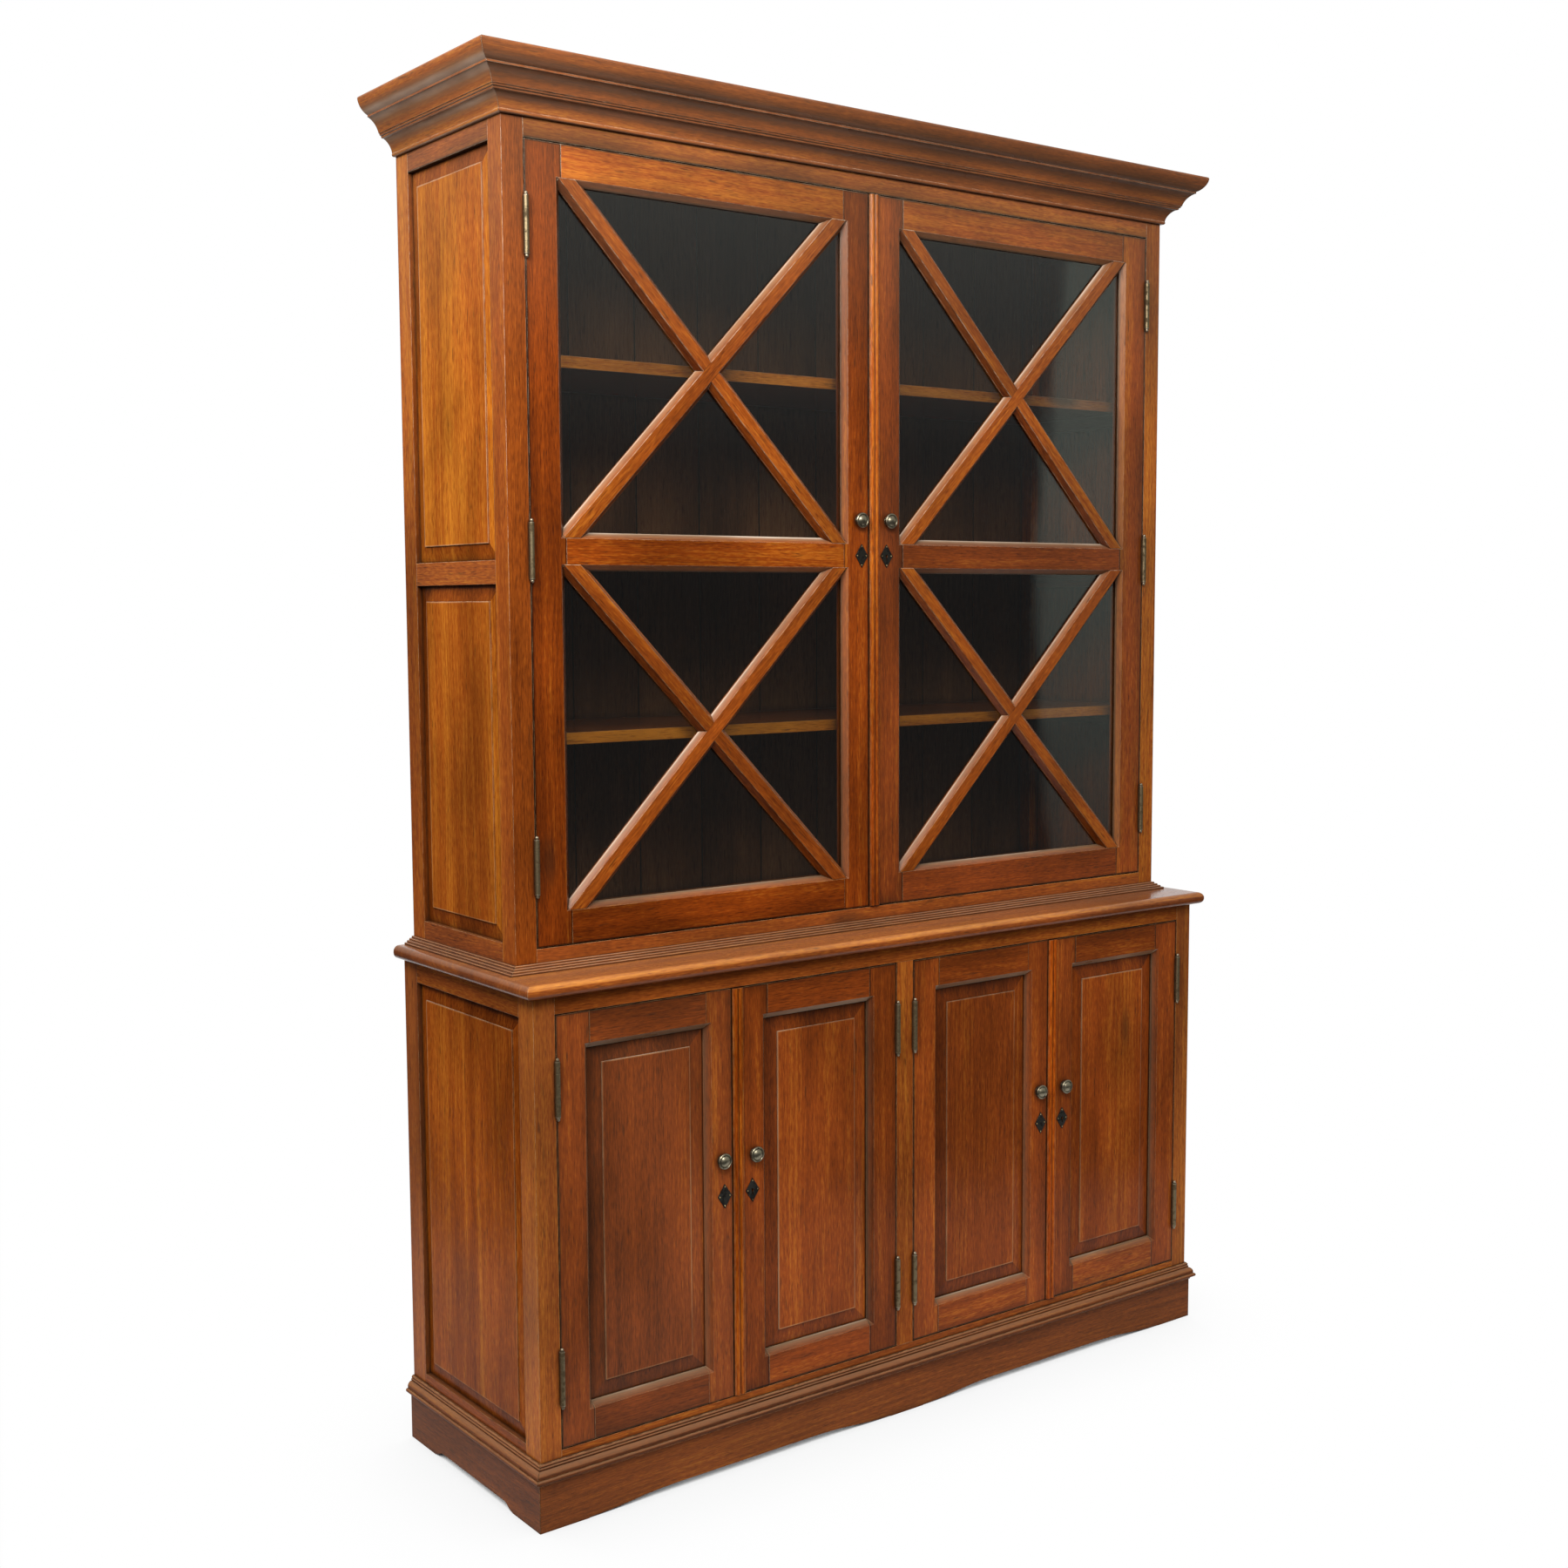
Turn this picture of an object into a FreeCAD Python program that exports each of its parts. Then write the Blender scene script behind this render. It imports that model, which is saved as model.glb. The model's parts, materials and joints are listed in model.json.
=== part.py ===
"""Two-stage library bookcase: a glazed upper case on a panelled lower case, in millimetres.

+X is to the right, the doors face -Y and +Z is up. The origin is on the floor, under the middle
of the box around the whole object.
"""
import FreeCAD
import Part
import Sketcher
import math
import os
import re

# Driving sizes

SIZES = {
    # Whole object
    "total_height": 2400,
    # Plinth and its cut-outs
    "plinth_height": 82,
    "plinth_proud": 7,
    "plinth_board": 22,
    "plinth_arch": 11,
    "arch_nick": 1.5,
    "corner_foot": 95,
    "centre_foot": 80,
    "front_ogee": 180,
    "side_ogee": 30,
    "glue_block": 40,
    # Base moulding, from the bottom up
    "base_lip": 2,
    "base_cove": 5.5,
    "base_step": 1,
    "base_bead": 7,
    "base_fillet": 1.5,
    "base_ovolo_run": 7,
    "base_ovolo_rise": 11,
    "base_reed": 4.5,
    "base_edge": 1,
    # Lower case
    "lower_width": 1580,
    "lower_depth": 466,
    "lower_post_width": 40,
    "lower_post_depth": 49,
    "lower_top_rail": 31,
    "lower_bottom_rail": 12.5,
    "lower_side_top_rail": 38,
    "lower_side_bottom_rail": 17,
    "centre_stile": 40,
    "partition": 20,
    "lower_shelf_rise": 360,
    # Counter
    "counter_height": 920,
    "counter_thickness": 24,
    "counter_overhang": 21,
    "counter_nose": 11,
    # Waist moulding, small rounded steps
    "waist_rise": 3.5,
    "waist_run": 4.75,
    "waist_round": 1.6,
    # Upper case
    "upper_side_setback": 20,
    "upper_front_setback": 90,
    "upper_post_width": 40,
    "upper_post_depth": 44,
    "frieze_rail": 31.5,
    "upper_bottom_rail": 37.5,
    "upper_side_top_rail": 34,
    "upper_side_mid_rail": 39.5,
    "upper_side_mid_rise": 662.75,
    "upper_side_bottom_rail": 46,
    "first_shelf": 348,
    "shelf_pitch": 315,
    "top_inset": 6,
    # Cornice, from the bottom up
    "cornice_foot": 5,
    "cornice_bead_run": 2,
    "cornice_bead_rise": 5.5,
    "cornice_low_cove_run": 15.5,
    "cornice_low_cove_rise": 23,
    "cornice_quirk": 1.6,
    "cornice_reed_run": 2.9,
    "cornice_reed_rise": 3.7,
    "cornice_high_cove_run": 18.5,
    "cornice_high_cove_rise": 24.5,
    "cornice_fillet": 3.3,
    "cornice_ovolo_run": 18.4,
    "cornice_ovolo_rise": 25.3,
    "cornice_arris_run": 3,
    "cornice_arris_rise": 4,
    # Boards, panels and their joints
    "side_rail": 24,
    "board": 18,
    "shelf": 20,
    "shelf_setback": 2,
    "cleat_width": 18,
    "cleat_height": 24,
    "stop_width": 16,
    "stop_lip": 7,
    "stop_gap": 0.5,
    "back_board": 12,
    "back_inset": 2,
    "back_board_gap": 3,
    "tenon_length": 18,
    "tenon_thickness": 8,
    "tenon_setback": 9,
    "tenon_shoulder": 11,
    "panel_tongue": 8,
    "groove_depth": 9,
    "panel_play": 1,
    "panel_margin": 28,
    "field_step": 2,
    "side_panel_setback": 9,
    "side_field_setback": 3,
    # Doors
    "door_thickness": 26,
    "door_gap": 1.75,
    "meeting_gap": 2,
    "bevel_width": 10,
    "astragal_width": 23,
    "astragal_edge": 2,
    "astragal_fillet": 2.5,
    # Glazed doors
    "glazed_stile": 58,
    "glazed_meeting": 50,
    "glazed_top_rail": 53.5,
    "glazed_mid_rail": 43.5,
    "glazed_bottom_rail": 57,
    "glazed_mid_rise": 696.75,
    "glazed_bevel_depth": 10,
    "glass_lip": 3,
    "glass_rebate": 10,
    "glass_thickness": 3,
    "glass_play": 1,
    "bead_thickness": 8,
    "lattice_face": 23,
    "lattice_quirk": 1.2,
    "lattice_bevel": 8.5,
    "lattice_shoulder": 9.5,
    "lattice_end": 20,
    # Panelled doors
    "panelled_stile": 54,
    "panelled_meeting": 44.5,
    "panelled_rail": 54,
    "panelled_bevel_depth": 11,
    "panelled_setback": 14,
    "panelled_field_setback": 9,
    # Hinges
    "hinge_length": 90,
    "hinge_barrel": 9,
    "hinge_pin": 4,
    "hinge_air": 0.5,
    "pin_clearance": 0.05,
    "knuckle_gap": 0.3,
    "leaf_width": 22,
    "leaf_thickness": 1.6,
    "finial_collar": 1.5,
    "finial_neck": 3.6,
    "finial_ball": 6.2,
    "glazed_hinge_inset": 136,
    "panelled_hinge_inset": 122,
    # Knobs
    "knob_diameter": 28.5,
    "knob_length": 16,
    "knob_swell": 9.5,
    "knob_rim": 2.8,
    "knob_groove": 1.2,
    "neck_diameter": 10,
    "neck_length": 6,
    "rose_diameter": 19,
    "rose_edge": 1.5,
    "rose_height": 3,
    "shank_diameter": 6,
    "shank_length": 18,
    "shank_clearance": 0.05,
    "knob_offset": 35,
    "knob_rise": 65,
    # Escutcheons
    "escutcheon_width": 29,
    "escutcheon_height": 43,
    "escutcheon_thickness": 1.5,
    "escutcheon_offset": 30,
    "keyhole_diameter": 6,
    "keyhole_slot": 3,
    "keyhole_drop": 9,
    # Locks
    "lock_length": 45,
    "lock_thickness": 12,
    "lock_height": 56,
    "lock_setback": 7,
    "bolt_length": 28,
    "bolt_thickness": 6,
    "bolt_height": 16,
    "bolt_throw": 10,
    "bolt_clearance": 0.2,
    "mortise_play": 1,
}

# Places worked out from the sizes

PLACES = {
    "base_height": "base_cove + base_bead + base_fillet + base_ovolo_rise + 2 * base_reed + base_edge",
    "base_reach": "plinth_proud + base_lip + base_cove + base_step + base_bead / 2",
    "waist_reach": "4 * waist_run",
    "cornice_height": "cornice_bead_rise + cornice_low_cove_rise + 2 * cornice_reed_rise"
                      " + cornice_high_cove_rise + cornice_fillet + cornice_ovolo_rise"
                      " + cornice_arris_rise",
    "cornice_reach": "cornice_foot + cornice_bead_run + cornice_low_cove_run + 3 * cornice_quirk"
                     " + 2 * cornice_reed_run + cornice_high_cove_run + cornice_ovolo_run",
    # Front to back
    "front_reach": "max(knob_length; counter_overhang; base_reach)",
    "back": "(lower_depth + front_reach) / 2",
    "back_inner": "back - back_inset - back_board",
    "lower_front": "back - lower_depth",
    "upper_front": "lower_front + upper_front_setback",
    "face_rail": "door_thickness + stop_gap",
    "hinge_proud": "hinge_barrel / 2 + hinge_air",
    # Left to right
    "lower_side": "lower_width / 2",
    "upper_side": "lower_side - upper_side_setback",
    "lower_open_side": "lower_side - lower_post_width",
    "upper_open_side": "upper_side - upper_post_width",
    "pair_centre": "(lower_open_side + centre_stile / 2) / 2",
    # Bottom to top
    "base_top": "plinth_height + base_height",
    "lower_top": "counter_height - counter_thickness",
    "lower_open_low": "base_top + lower_bottom_rail",
    "lower_open_high": "lower_top - lower_top_rail",
    "lower_floor": "lower_open_low + stop_lip",
    "lower_shelf_top": "lower_floor + lower_shelf_rise",
    "lower_recess_low": "base_top + lower_side_bottom_rail",
    "lower_recess_high": "lower_top - lower_side_top_rail",
    "cornice_low": "total_height - cornice_height",
    "upper_top": "total_height - top_inset",
    "upper_open_low": "counter_height + upper_bottom_rail",
    "upper_open_high": "cornice_low - frieze_rail",
    "upper_floor": "upper_open_low + stop_lip",
    "upper_recess_low": "counter_height + upper_side_bottom_rail",
    "upper_recess_high": "cornice_low - upper_side_top_rail",
    "side_mid": "counter_height + upper_side_mid_rise",
    "side_mid_low": "side_mid - upper_side_mid_rail / 2",
    "side_mid_high": "side_mid + upper_side_mid_rail / 2",
    "glazed_mid": "counter_height + glazed_mid_rise",
    "panelled_mid": "(lower_open_low + lower_open_high) / 2",
}

# How far a cutter runs past the surface it opens
OVER = 1

doc = FreeCAD.newDocument("bookcase")
NODES = []


def bound(text):
    """An expression with each named size led by its sheet."""
    def sheet_name(match):
        word = match.group(0)
        if word in SIZES:
            return "Sizes." + word
        if word in PLACES:
            return "Places." + word
        return word
    return re.sub(r"[a-z][a-z0-9_]*", sheet_name, str(text))


def fill_sheet(name, cells):
    sheet = doc.addObject("Spreadsheet::Sheet", name)
    for row, (alias, content) in enumerate(cells.items(), start=1):
        sheet.set(f"A{row}", alias)
        sheet.set(f"B{row}", content)
        sheet.setAlias(f"B{row}", alias)
    doc.recompute()
    return sheet


sizes = fill_sheet("Sizes", {alias: str(size) for alias, size in SIZES.items()})
fill_sheet("Places", {alias: "=" + bound(formula) for alias, formula in PLACES.items()})


def value(text):
    """The present value of an expression in millimetres."""
    return float(sizes.evalExpression(bound(text)))


# Building blocks

def tie(item, name, text):
    item.setExpression(name, bound(text))


def place(item, x, y, z):
    tie(item, "Placement.Base.x", x)
    tie(item, "Placement.Base.y", y)
    tie(item, "Placement.Base.z", z)


def turn(item, axis, degrees):
    item.Placement.Rotation = FreeCAD.Rotation(FreeCAD.Vector(*axis), degrees)


def box(low, high):
    """A board between two opposite corners."""
    item = doc.addObject("Part::Box", "board")
    for name, near, far in zip(("Length", "Width", "Height"), low, high):
        tie(item, name, f"({far}) - ({near})")
    place(item, *low)
    return item


def rod(radius, low, high):
    """An upright round bar on the Z axis."""
    item = doc.addObject("Part::Cylinder", "rod")
    tie(item, "Radius", radius)
    tie(item, "Height", f"({high}) - ({low})")
    place(item, "0", "0", low)
    return item


def frustum(near, near_x, near_z, far, far_x, far_z):
    """A block that tapers along Y from one rectangle to another."""
    item = doc.addObject("Part::Wedge", "taper")
    bounds = {
        "Ymin": near, "Xmin": near_x[0], "Xmax": near_x[1], "Zmin": near_z[0], "Zmax": near_z[1],
        "Ymax": far, "X2min": far_x[0], "X2max": far_x[1], "Z2min": far_z[0], "Z2max": far_z[1],
    }
    for name, text in bounds.items():
        tie(item, name, text)
    return item


def gather(items):
    group = doc.addObject("Part::Compound", "group")
    group.Links = list(items)
    return group


def cut(base, tools):
    item = doc.addObject("Part::Cut", "cut")
    item.Base = base
    item.Tool = gather(tools)
    return item


def join(items):
    item = doc.addObject("Part::MultiFuse", "joined")
    item.Shapes = list(items)
    return item


def overlap(base, tool):
    item = doc.addObject("Part::Common", "trimmed")
    item.Base = base
    item.Tool = tool
    return item


def copy_of(master, x, y, z, axis=(0, 0, 1), degrees=0):
    link = doc.addObject("App::Link", "copy")
    link.LinkedObject = master
    turn(link, axis, degrees)
    place(link, x, y, z)
    return link


def node(label, items):
    """One named sub-part, written to a file of its own."""
    item = gather(items)
    item.Label = label
    NODES.append(item)


# Sketches and the bodies made from them

def locate(sketch, edge, end, kind, axis, text):
    """Hold one corner at a distance from the sketch's origin."""
    if text == "0":
        sketch.addConstraint(Sketcher.Constraint("PointOnObject", edge, end, axis))
        return
    distance = value(text)
    if distance >= 0:
        rule = Sketcher.Constraint(kind, -1, 1, edge, end, distance)
    else:
        rule = Sketcher.Constraint(kind, edge, end, -1, 1, -distance)
        text = f"-({text})"
    index = sketch.addConstraint(rule)
    tie(sketch, f"Constraints[{index}]", text)


def draw(sketch, corners):
    """Close an outline through corners that run counter-clockwise.

    A corner is (x, y), or (x, y, "round" or "hollow", radius) where an arc leads up to it.
    """
    spots = [FreeCAD.Vector(value(corner[0]), value(corner[1]), 0) for corner in corners]
    edges = []
    for index, start in enumerate(spots):
        following = (index + 1) % len(spots)
        end = spots[following]
        if len(corners[following]) == 2:
            edge = sketch.addGeometry(Part.LineSegment(start, end))
            edges.append((edge, 1, 2))
            continue
        shape, radius_text = corners[following][2:]
        radius = value(radius_text)
        chord = end - start
        outward = FreeCAD.Vector(chord.y, -chord.x, 0).normalize()
        reach = math.sqrt(radius ** 2 - (chord.Length / 2) ** 2)
        is_round = shape == "round"
        centre = (start + end) / 2 + outward * (-reach if is_round else reach)
        first, last = (start, end) if is_round else (end, start)
        angles = [math.atan2(spot.y - centre.y, spot.x - centre.x) for spot in (first, last)]
        circle = Part.Circle(centre, FreeCAD.Vector(0, 0, 1), radius)
        edge = sketch.addGeometry(Part.ArcOfCircle(circle, *angles))
        edges.append((edge, 1, 2) if is_round else (edge, 2, 1))
        index = sketch.addConstraint(Sketcher.Constraint("Radius", edge, radius))
        tie(sketch, f"Constraints[{index}]", radius_text)
    for (edge, head, tail), (following, next_head, next_tail) in zip(edges, edges[1:] + edges[:1]):
        sketch.addConstraint(Sketcher.Constraint("Coincident", edge, tail, following, next_head))
    for (edge, head, tail), corner in zip(edges, corners):
        locate(sketch, edge, head, "DistanceX", -2, corner[0])
        locate(sketch, edge, head, "DistanceY", -1, corner[1])


def new_body():
    return doc.addObject("PartDesign::Body", "body")


def sketch_on(body, role, outlines):
    sketch = body.newObject("Sketcher::SketchObject", "outline")
    plane = [feature for feature in body.Origin.OriginFeatures if feature.Role == role][0]
    sketch.AttachmentSupport = (plane, [""])
    sketch.MapMode = "FlatFace"
    for corners in outlines:
        draw(sketch, corners)
    return sketch


def pad(body, sketch, length, direction="forward"):
    feature = body.newObject("PartDesign::Pad", "pad")
    feature.Profile = sketch
    if direction == "both":
        feature.SideType = "Symmetric"
    feature.Reversed = direction == "backward"
    tie(feature, "Length", length)
    return feature


def pocket_through(body, sketch):
    feature = body.newObject("PartDesign::Pocket", "pocket")
    feature.Profile = sketch
    feature.Type = "ThroughAll"
    feature.SideType = "Symmetric"


def revolve(body, sketch):
    feature = body.newObject("PartDesign::Revolution", "turning")
    feature.Profile = sketch
    feature.ReferenceAxis = (sketch, ["V_Axis"])
    feature.Angle = 360


def section(steps):
    """Corners of a moulding's section, stepping (out, up) from its foot on the wall.

    A step that is an arc also names its shape and its radius as a share of its chord.
    """
    x, y = "0", "0"
    corners = [(x, y)]
    for step in steps:
        run, rise = step[:2]
        x = x if run == "0" else f"{x} + {run}"
        y = y if rise == "0" else f"{y} + {rise}"
        if len(step) == 2:
            corners.append((x, y))
        else:
            shape, share = step[2:]
            corners.append((x, y, shape, f"{share} * sqrt(({run}) ^ 2 + ({rise}) ^ 2)"))
    corners.append(("0", y))
    return corners


def run_round(make, side, front):
    """A front length and two side lengths that meet in mitres, each made in its own frame.

    In that frame the length lies along X and +Y points away from the case.
    """
    pieces = []
    for hand, degrees, x, y in (("front", 180, "0", front), ("left", 90, f"-{side}", "back"),
                                ("right", -90, side, "back")):
        body = make(hand)
        turn(body, (0, 0, 1), degrees)
        pieces.append((body, x, y))
    return pieces


def mitre(length, reach, sign):
    """The triangle outside a 45 degree cut that starts on the wall at the given length."""
    return [
        (f"{sign}({length} - {OVER})", f"-{OVER}"),
        (f"{sign}({length} + {reach} + {OVER})", f"-{OVER}"),
        (f"{sign}({length} + {reach} + {OVER})", f"{reach} + {OVER}"),
    ]


def moulding(label, corners, side, front, reach, height):
    def make(hand):
        body = new_body()
        outline = sketch_on(body, "YZ_Plane", [corners])
        if hand == "front":
            pad(body, outline, f"2 * ({side} + {reach})", "both")
            cuts = [mitre(side, reach, ""), mitre(side, reach, "-")]
        elif hand == "left":
            pad(body, outline, f"back - {front} + {reach}", "backward")
            cuts = [mitre(f"back - {front}", reach, "-")]
        else:
            pad(body, outline, f"back - {front} + {reach}")
            cuts = [mitre(f"back - {front}", reach, "")]
        pocket_through(body, sketch_on(body, "XY_Plane", cuts))
        return body

    pieces = run_round(make, side, front)
    for body, x, y in pieces:
        place(body, x, y, height)
    node(label, [body for body, x, y in pieces])


def inside(hand, half, near, far):
    """The X range from near to far, measured inwards from one side of a case."""
    if hand == "left":
        return f"-{half} + {near}", f"-{half} + {far}"
    return f"{half} - ({far})", f"{half} - ({near})"


# Hinges, listed first because the posts and the doors are both cut for them

PAIRS = {
    "upper": {"front": "upper_front", "left": "-upper_open_side", "right": "upper_open_side",
              "centre": "0", "low": "upper_open_low + door_gap", "high": "upper_open_high - door_gap",
              "stile": "glazed_stile", "meeting": "glazed_meeting", "lock": "glazed_mid"},
    "lower_left": {"front": "lower_front", "left": "-lower_open_side", "right": "-centre_stile / 2",
                   "centre": "-pair_centre", "low": "lower_open_low + door_gap",
                   "high": "lower_open_high - door_gap",
                   "stile": "panelled_stile", "meeting": "panelled_meeting", "lock": "panelled_mid"},
    "lower_right": {"front": "lower_front", "left": "centre_stile / 2", "right": "lower_open_side",
                    "centre": "pair_centre", "low": "lower_open_low + door_gap",
                    "high": "lower_open_high - door_gap",
                    "stile": "panelled_stile", "meeting": "panelled_meeting", "lock": "panelled_mid"},
}
DOORS = {
    "upper_left_door": ("upper", "left"),
    "upper_right_door": ("upper", "right"),
    "lower_outer_left_door": ("lower_left", "left"),
    "lower_inner_left_door": ("lower_left", "right"),
    "lower_inner_right_door": ("lower_right", "left"),
    "lower_outer_right_door": ("lower_right", "right"),
}


def hinge_heights(pair):
    low, high = PAIRS[pair]["low"], PAIRS[pair]["high"]
    if pair == "upper":
        return [f"{low} + glazed_hinge_inset", "glazed_mid", f"{high} - glazed_hinge_inset"]
    return [f"{low} + panelled_hinge_inset", f"{high} - panelled_hinge_inset"]


def leaf_pockets(pair, hand, of_door):
    """Shallow recesses for the hinge leaves of one door, in its own stile or in the case."""
    edge = PAIRS[pair][hand]
    front = PAIRS[pair]["front"]
    into_door = 1 if hand == "left" else -1
    if of_door:
        ends = (f"{edge} + {into_door} * (door_gap - {OVER})",
                f"{edge} + {into_door} * (door_gap + leaf_thickness)")
    else:
        ends = (f"{edge} - {into_door} * leaf_thickness", f"{edge} + {into_door} * {OVER}")
    if into_door == -1:
        ends = ends[::-1]
    if not of_door:
        ends = tuple(sorted(ends, key=value))
    return [box((ends[0], f"{front} - {OVER}", f"{height} - hinge_length / 2"),
                (ends[1], f"{front} + leaf_width", f"{height} + hinge_length / 2"))
            for height in hinge_heights(pair)]


# Plinth

def cut_out(start, end, run):
    """An arch that leaves the floor in a small nick and an S curve at both ends."""
    rise = "(plinth_arch - arch_nick)"
    bend = f"(({run}) ^ 2 + {rise} ^ 2) / (4 * {rise})"
    middle = "(plinth_arch + arch_nick) / 2"
    return [
        (start, f"-{OVER}"),
        (end, f"-{OVER}"),
        (end, "arch_nick"),
        (f"{end} - {run} / 2", middle, "hollow", bend),
        (f"{end} - {run}", "plinth_arch", "round", bend),
        (f"{start} + {run}", "plinth_arch"),
        (f"{start} + {run} / 2", middle, "round", bend),
        (start, "arch_nick", "hollow", bend),
    ]


def plinth_length(hand):
    body = new_body()
    inner = "plinth_proud - plinth_board"
    if hand == "front":
        half = "lower_side"
        plan = [(f"{half} + plinth_proud", "plinth_proud"), (f"-({half} + plinth_proud)", "plinth_proud"),
                (f"-({half} + {inner})", inner), (f"{half} + {inner}", inner)]
        foot = f"{half} + plinth_proud - corner_foot"
        arches = [cut_out(f"-({foot})", "-centre_foot / 2", "front_ogee"),
                  cut_out("centre_foot / 2", foot, "front_ogee")]
    elif hand == "left":
        plan = [("0", "plinth_proud"), ("-(lower_depth + plinth_proud)", "plinth_proud"),
                (f"-(lower_depth + {inner})", inner), ("0", inner)]
        arches = [cut_out("-(lower_depth + plinth_proud - corner_foot)", "-corner_foot", "side_ogee")]
    else:
        plan = [("lower_depth + plinth_proud", "plinth_proud"), ("0", "plinth_proud"),
                ("0", inner), (f"lower_depth + {inner}", inner)]
        arches = [cut_out("corner_foot", "lower_depth + plinth_proud - corner_foot", "side_ogee")]
    pad(body, sketch_on(body, "XY_Plane", [plan]), "plinth_height")
    pocket_through(body, sketch_on(body, "XZ_Plane", arches))
    return body


plinth = []
for piece, x, y in run_round(plinth_length, "lower_side", "lower_front"):
    place(piece, x, y, "0")
    plinth.append(piece)
plinth_inside = "lower_side + plinth_proud - plinth_board"
plinth.append(box((f"-({plinth_inside})", "back - plinth_board", "0"),
                  (plinth_inside, "back", "plinth_height")))
for block_x in (f"-({plinth_inside})", f"{plinth_inside} - glue_block"):
    for block_y in ("lower_front - plinth_proud + plinth_board", "back - plinth_board - glue_block"):
        plinth.append(box((block_x, block_y, "plinth_arch"),
                          (f"{block_x} + glue_block", f"{block_y} + glue_block", "plinth_height")))
node("plinth", plinth)

moulding("base_moulding", section([
    ("plinth_proud + base_lip", "0"),
    ("base_cove", "base_cove", "hollow", 0.72),
    ("base_step", "0"),
    ("0", "base_bead", "round", 0.58),
    ("-2 * base_step", "0"),
    ("0", "base_fillet"),
    ("-base_ovolo_run", "base_ovolo_rise", "round", 0.75),
    ("-base_step", "0"),
    ("-base_step", "base_reed", "round", 0.56),
    ("-base_step", "base_reed", "round", 0.56),
    ("0", "base_edge"),
]), "lower_side", "lower_front", "base_reach", "plinth_height")


# Fielded panels and the frames that hold them

def fielded_panel(x, z, face, setback, field_setback):
    """A panel with a raised field for the opening x by z, its front towards -Y."""
    tongue = "(groove_depth - panel_play)"
    plate = box((f"{x[0]} - {tongue}", f"{face} + {setback}", f"{z[0]} - {tongue}"),
                (f"{x[1]} + {tongue}", f"{face} + {setback} + panel_tongue", f"{z[1]} + {tongue}"))
    rim_x = (f"{x[0]} + panel_play / 2", f"{x[1]} - panel_play / 2")
    rim_z = (f"{z[0]} + panel_play / 2", f"{z[1]} - panel_play / 2")
    field_x = (f"{x[0]} + panel_margin", f"{x[1]} - panel_margin")
    field_z = (f"{z[0]} + panel_margin", f"{z[1]} - panel_margin")
    top = f"{face} + {field_setback}"
    margin = frustum(f"{top} + field_step", field_x, field_z, f"{face} + {setback}", rim_x, rim_z)
    field = box((field_x[0], top, field_z[0]), (field_x[1], f"{top} + field_step", field_z[1]))
    return join([plate, margin, field])


def tongued_rail(low, high, tongue_low, tongue_high):
    """A rail with its tenons, and the tongue that cuts their mortises."""
    tongue = box(tongue_low, tongue_high)
    return join([box(low, high), tongue]), tongue


def side_frames(stage, recesses):
    """Side rails, panels and the tools that cut the posts, for both sides of one stage."""
    half = f"{stage}_side"
    top = f"{stage}_top"
    foot = "plinth_height" if stage == "lower" else "counter_height"
    start = f"{stage}_front + {stage}_post_depth"
    end = f"back - {stage}_post_depth"
    width = f"({end} - ({start})) / 2"
    bounds = [foot] + [edge for recess in recesses for edge in recess] + [top]
    spans = list(zip(bounds[0::2], bounds[1::2]))
    masters = [fielded_panel((f"-({width})", width), recess, "0", "side_panel_setback",
                             "side_field_setback") for recess in recesses]
    rails = []
    panels = []
    post_cutters = {}
    for hand, degrees in (("left", -90), ("right", 90)):
        panel_x = inside(hand, half, "side_panel_setback", "side_panel_setback + panel_tongue")
        rail_x = inside(hand, half, "0", "side_rail")
        tenon_x = inside(hand, half, "tenon_setback", "tenon_setback + tenon_thickness")
        grooves = [box((panel_x[0], f"{start} - groove_depth", f"{low} - groove_depth"),
                       (panel_x[1], f"{end} + groove_depth", f"{high} + groove_depth"))
                   for low, high in recesses]
        post_cutters[hand] = list(grooves)
        for low, high in spans:
            rail, tongue = tongued_rail(
                (rail_x[0], start, low), (rail_x[1], end, high),
                (tenon_x[0], f"{start} - tenon_length", f"{low} + tenon_shoulder"),
                (tenon_x[1], f"{end} + tenon_length", f"{high} - tenon_shoulder"))
            rails.append(cut(rail, grooves))
            post_cutters[hand].append(tongue)
        for master in masters:
            x = f"-{half}" if hand == "left" else half
            panels.append(copy_of(master, x, f"({start} + {end}) / 2", "0", (0, 0, 1), degrees))
    return rails, panels, post_cutters


def post_blanks(stage):
    half = f"{stage}_side"
    foot = "plinth_height" if stage == "lower" else "counter_height"
    blanks = {}
    for hand in ("left", "right"):
        x = inside(hand, half, "0", f"{stage}_post_width")
        front = f"{stage}_front"
        blanks[hand, "front"] = box((x[0], front, foot),
                                    (x[1], f"{front} + {stage}_post_depth", f"{stage}_top"))
        blanks[hand, "back"] = box((x[0], f"back - {stage}_post_depth", foot),
                                   (x[1], "back", f"{stage}_top"))
    return blanks


def front_rail(stage, low, high):
    front = f"{stage}_front"
    side = f"{stage}_open_side"
    return tongued_rail(
        (f"-{side}", front, low), (side, f"{front} + face_rail", high),
        (f"-({side} + tenon_length)", f"{front} + tenon_setback", f"{low} + tenon_shoulder"),
        (f"{side} + tenon_length", f"{front} + tenon_setback + tenon_thickness",
         f"{high} - tenon_shoulder"))


def back_slats(stage, low, high, count):
    """Upright back boards between the back posts, with shrinkage gaps."""
    room = f"(2 * {stage}_open_side - {count + 1} * back_board_gap) / {count}"
    slats = []
    for index in range(count):
        start = f"-{stage}_open_side + back_board_gap + {index} * ({room} + back_board_gap)"
        slats.append(box((start, "back_inner", low), (f"{start} + {room}", "back - back_inset", high)))
    return slats


# Lower case

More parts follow.
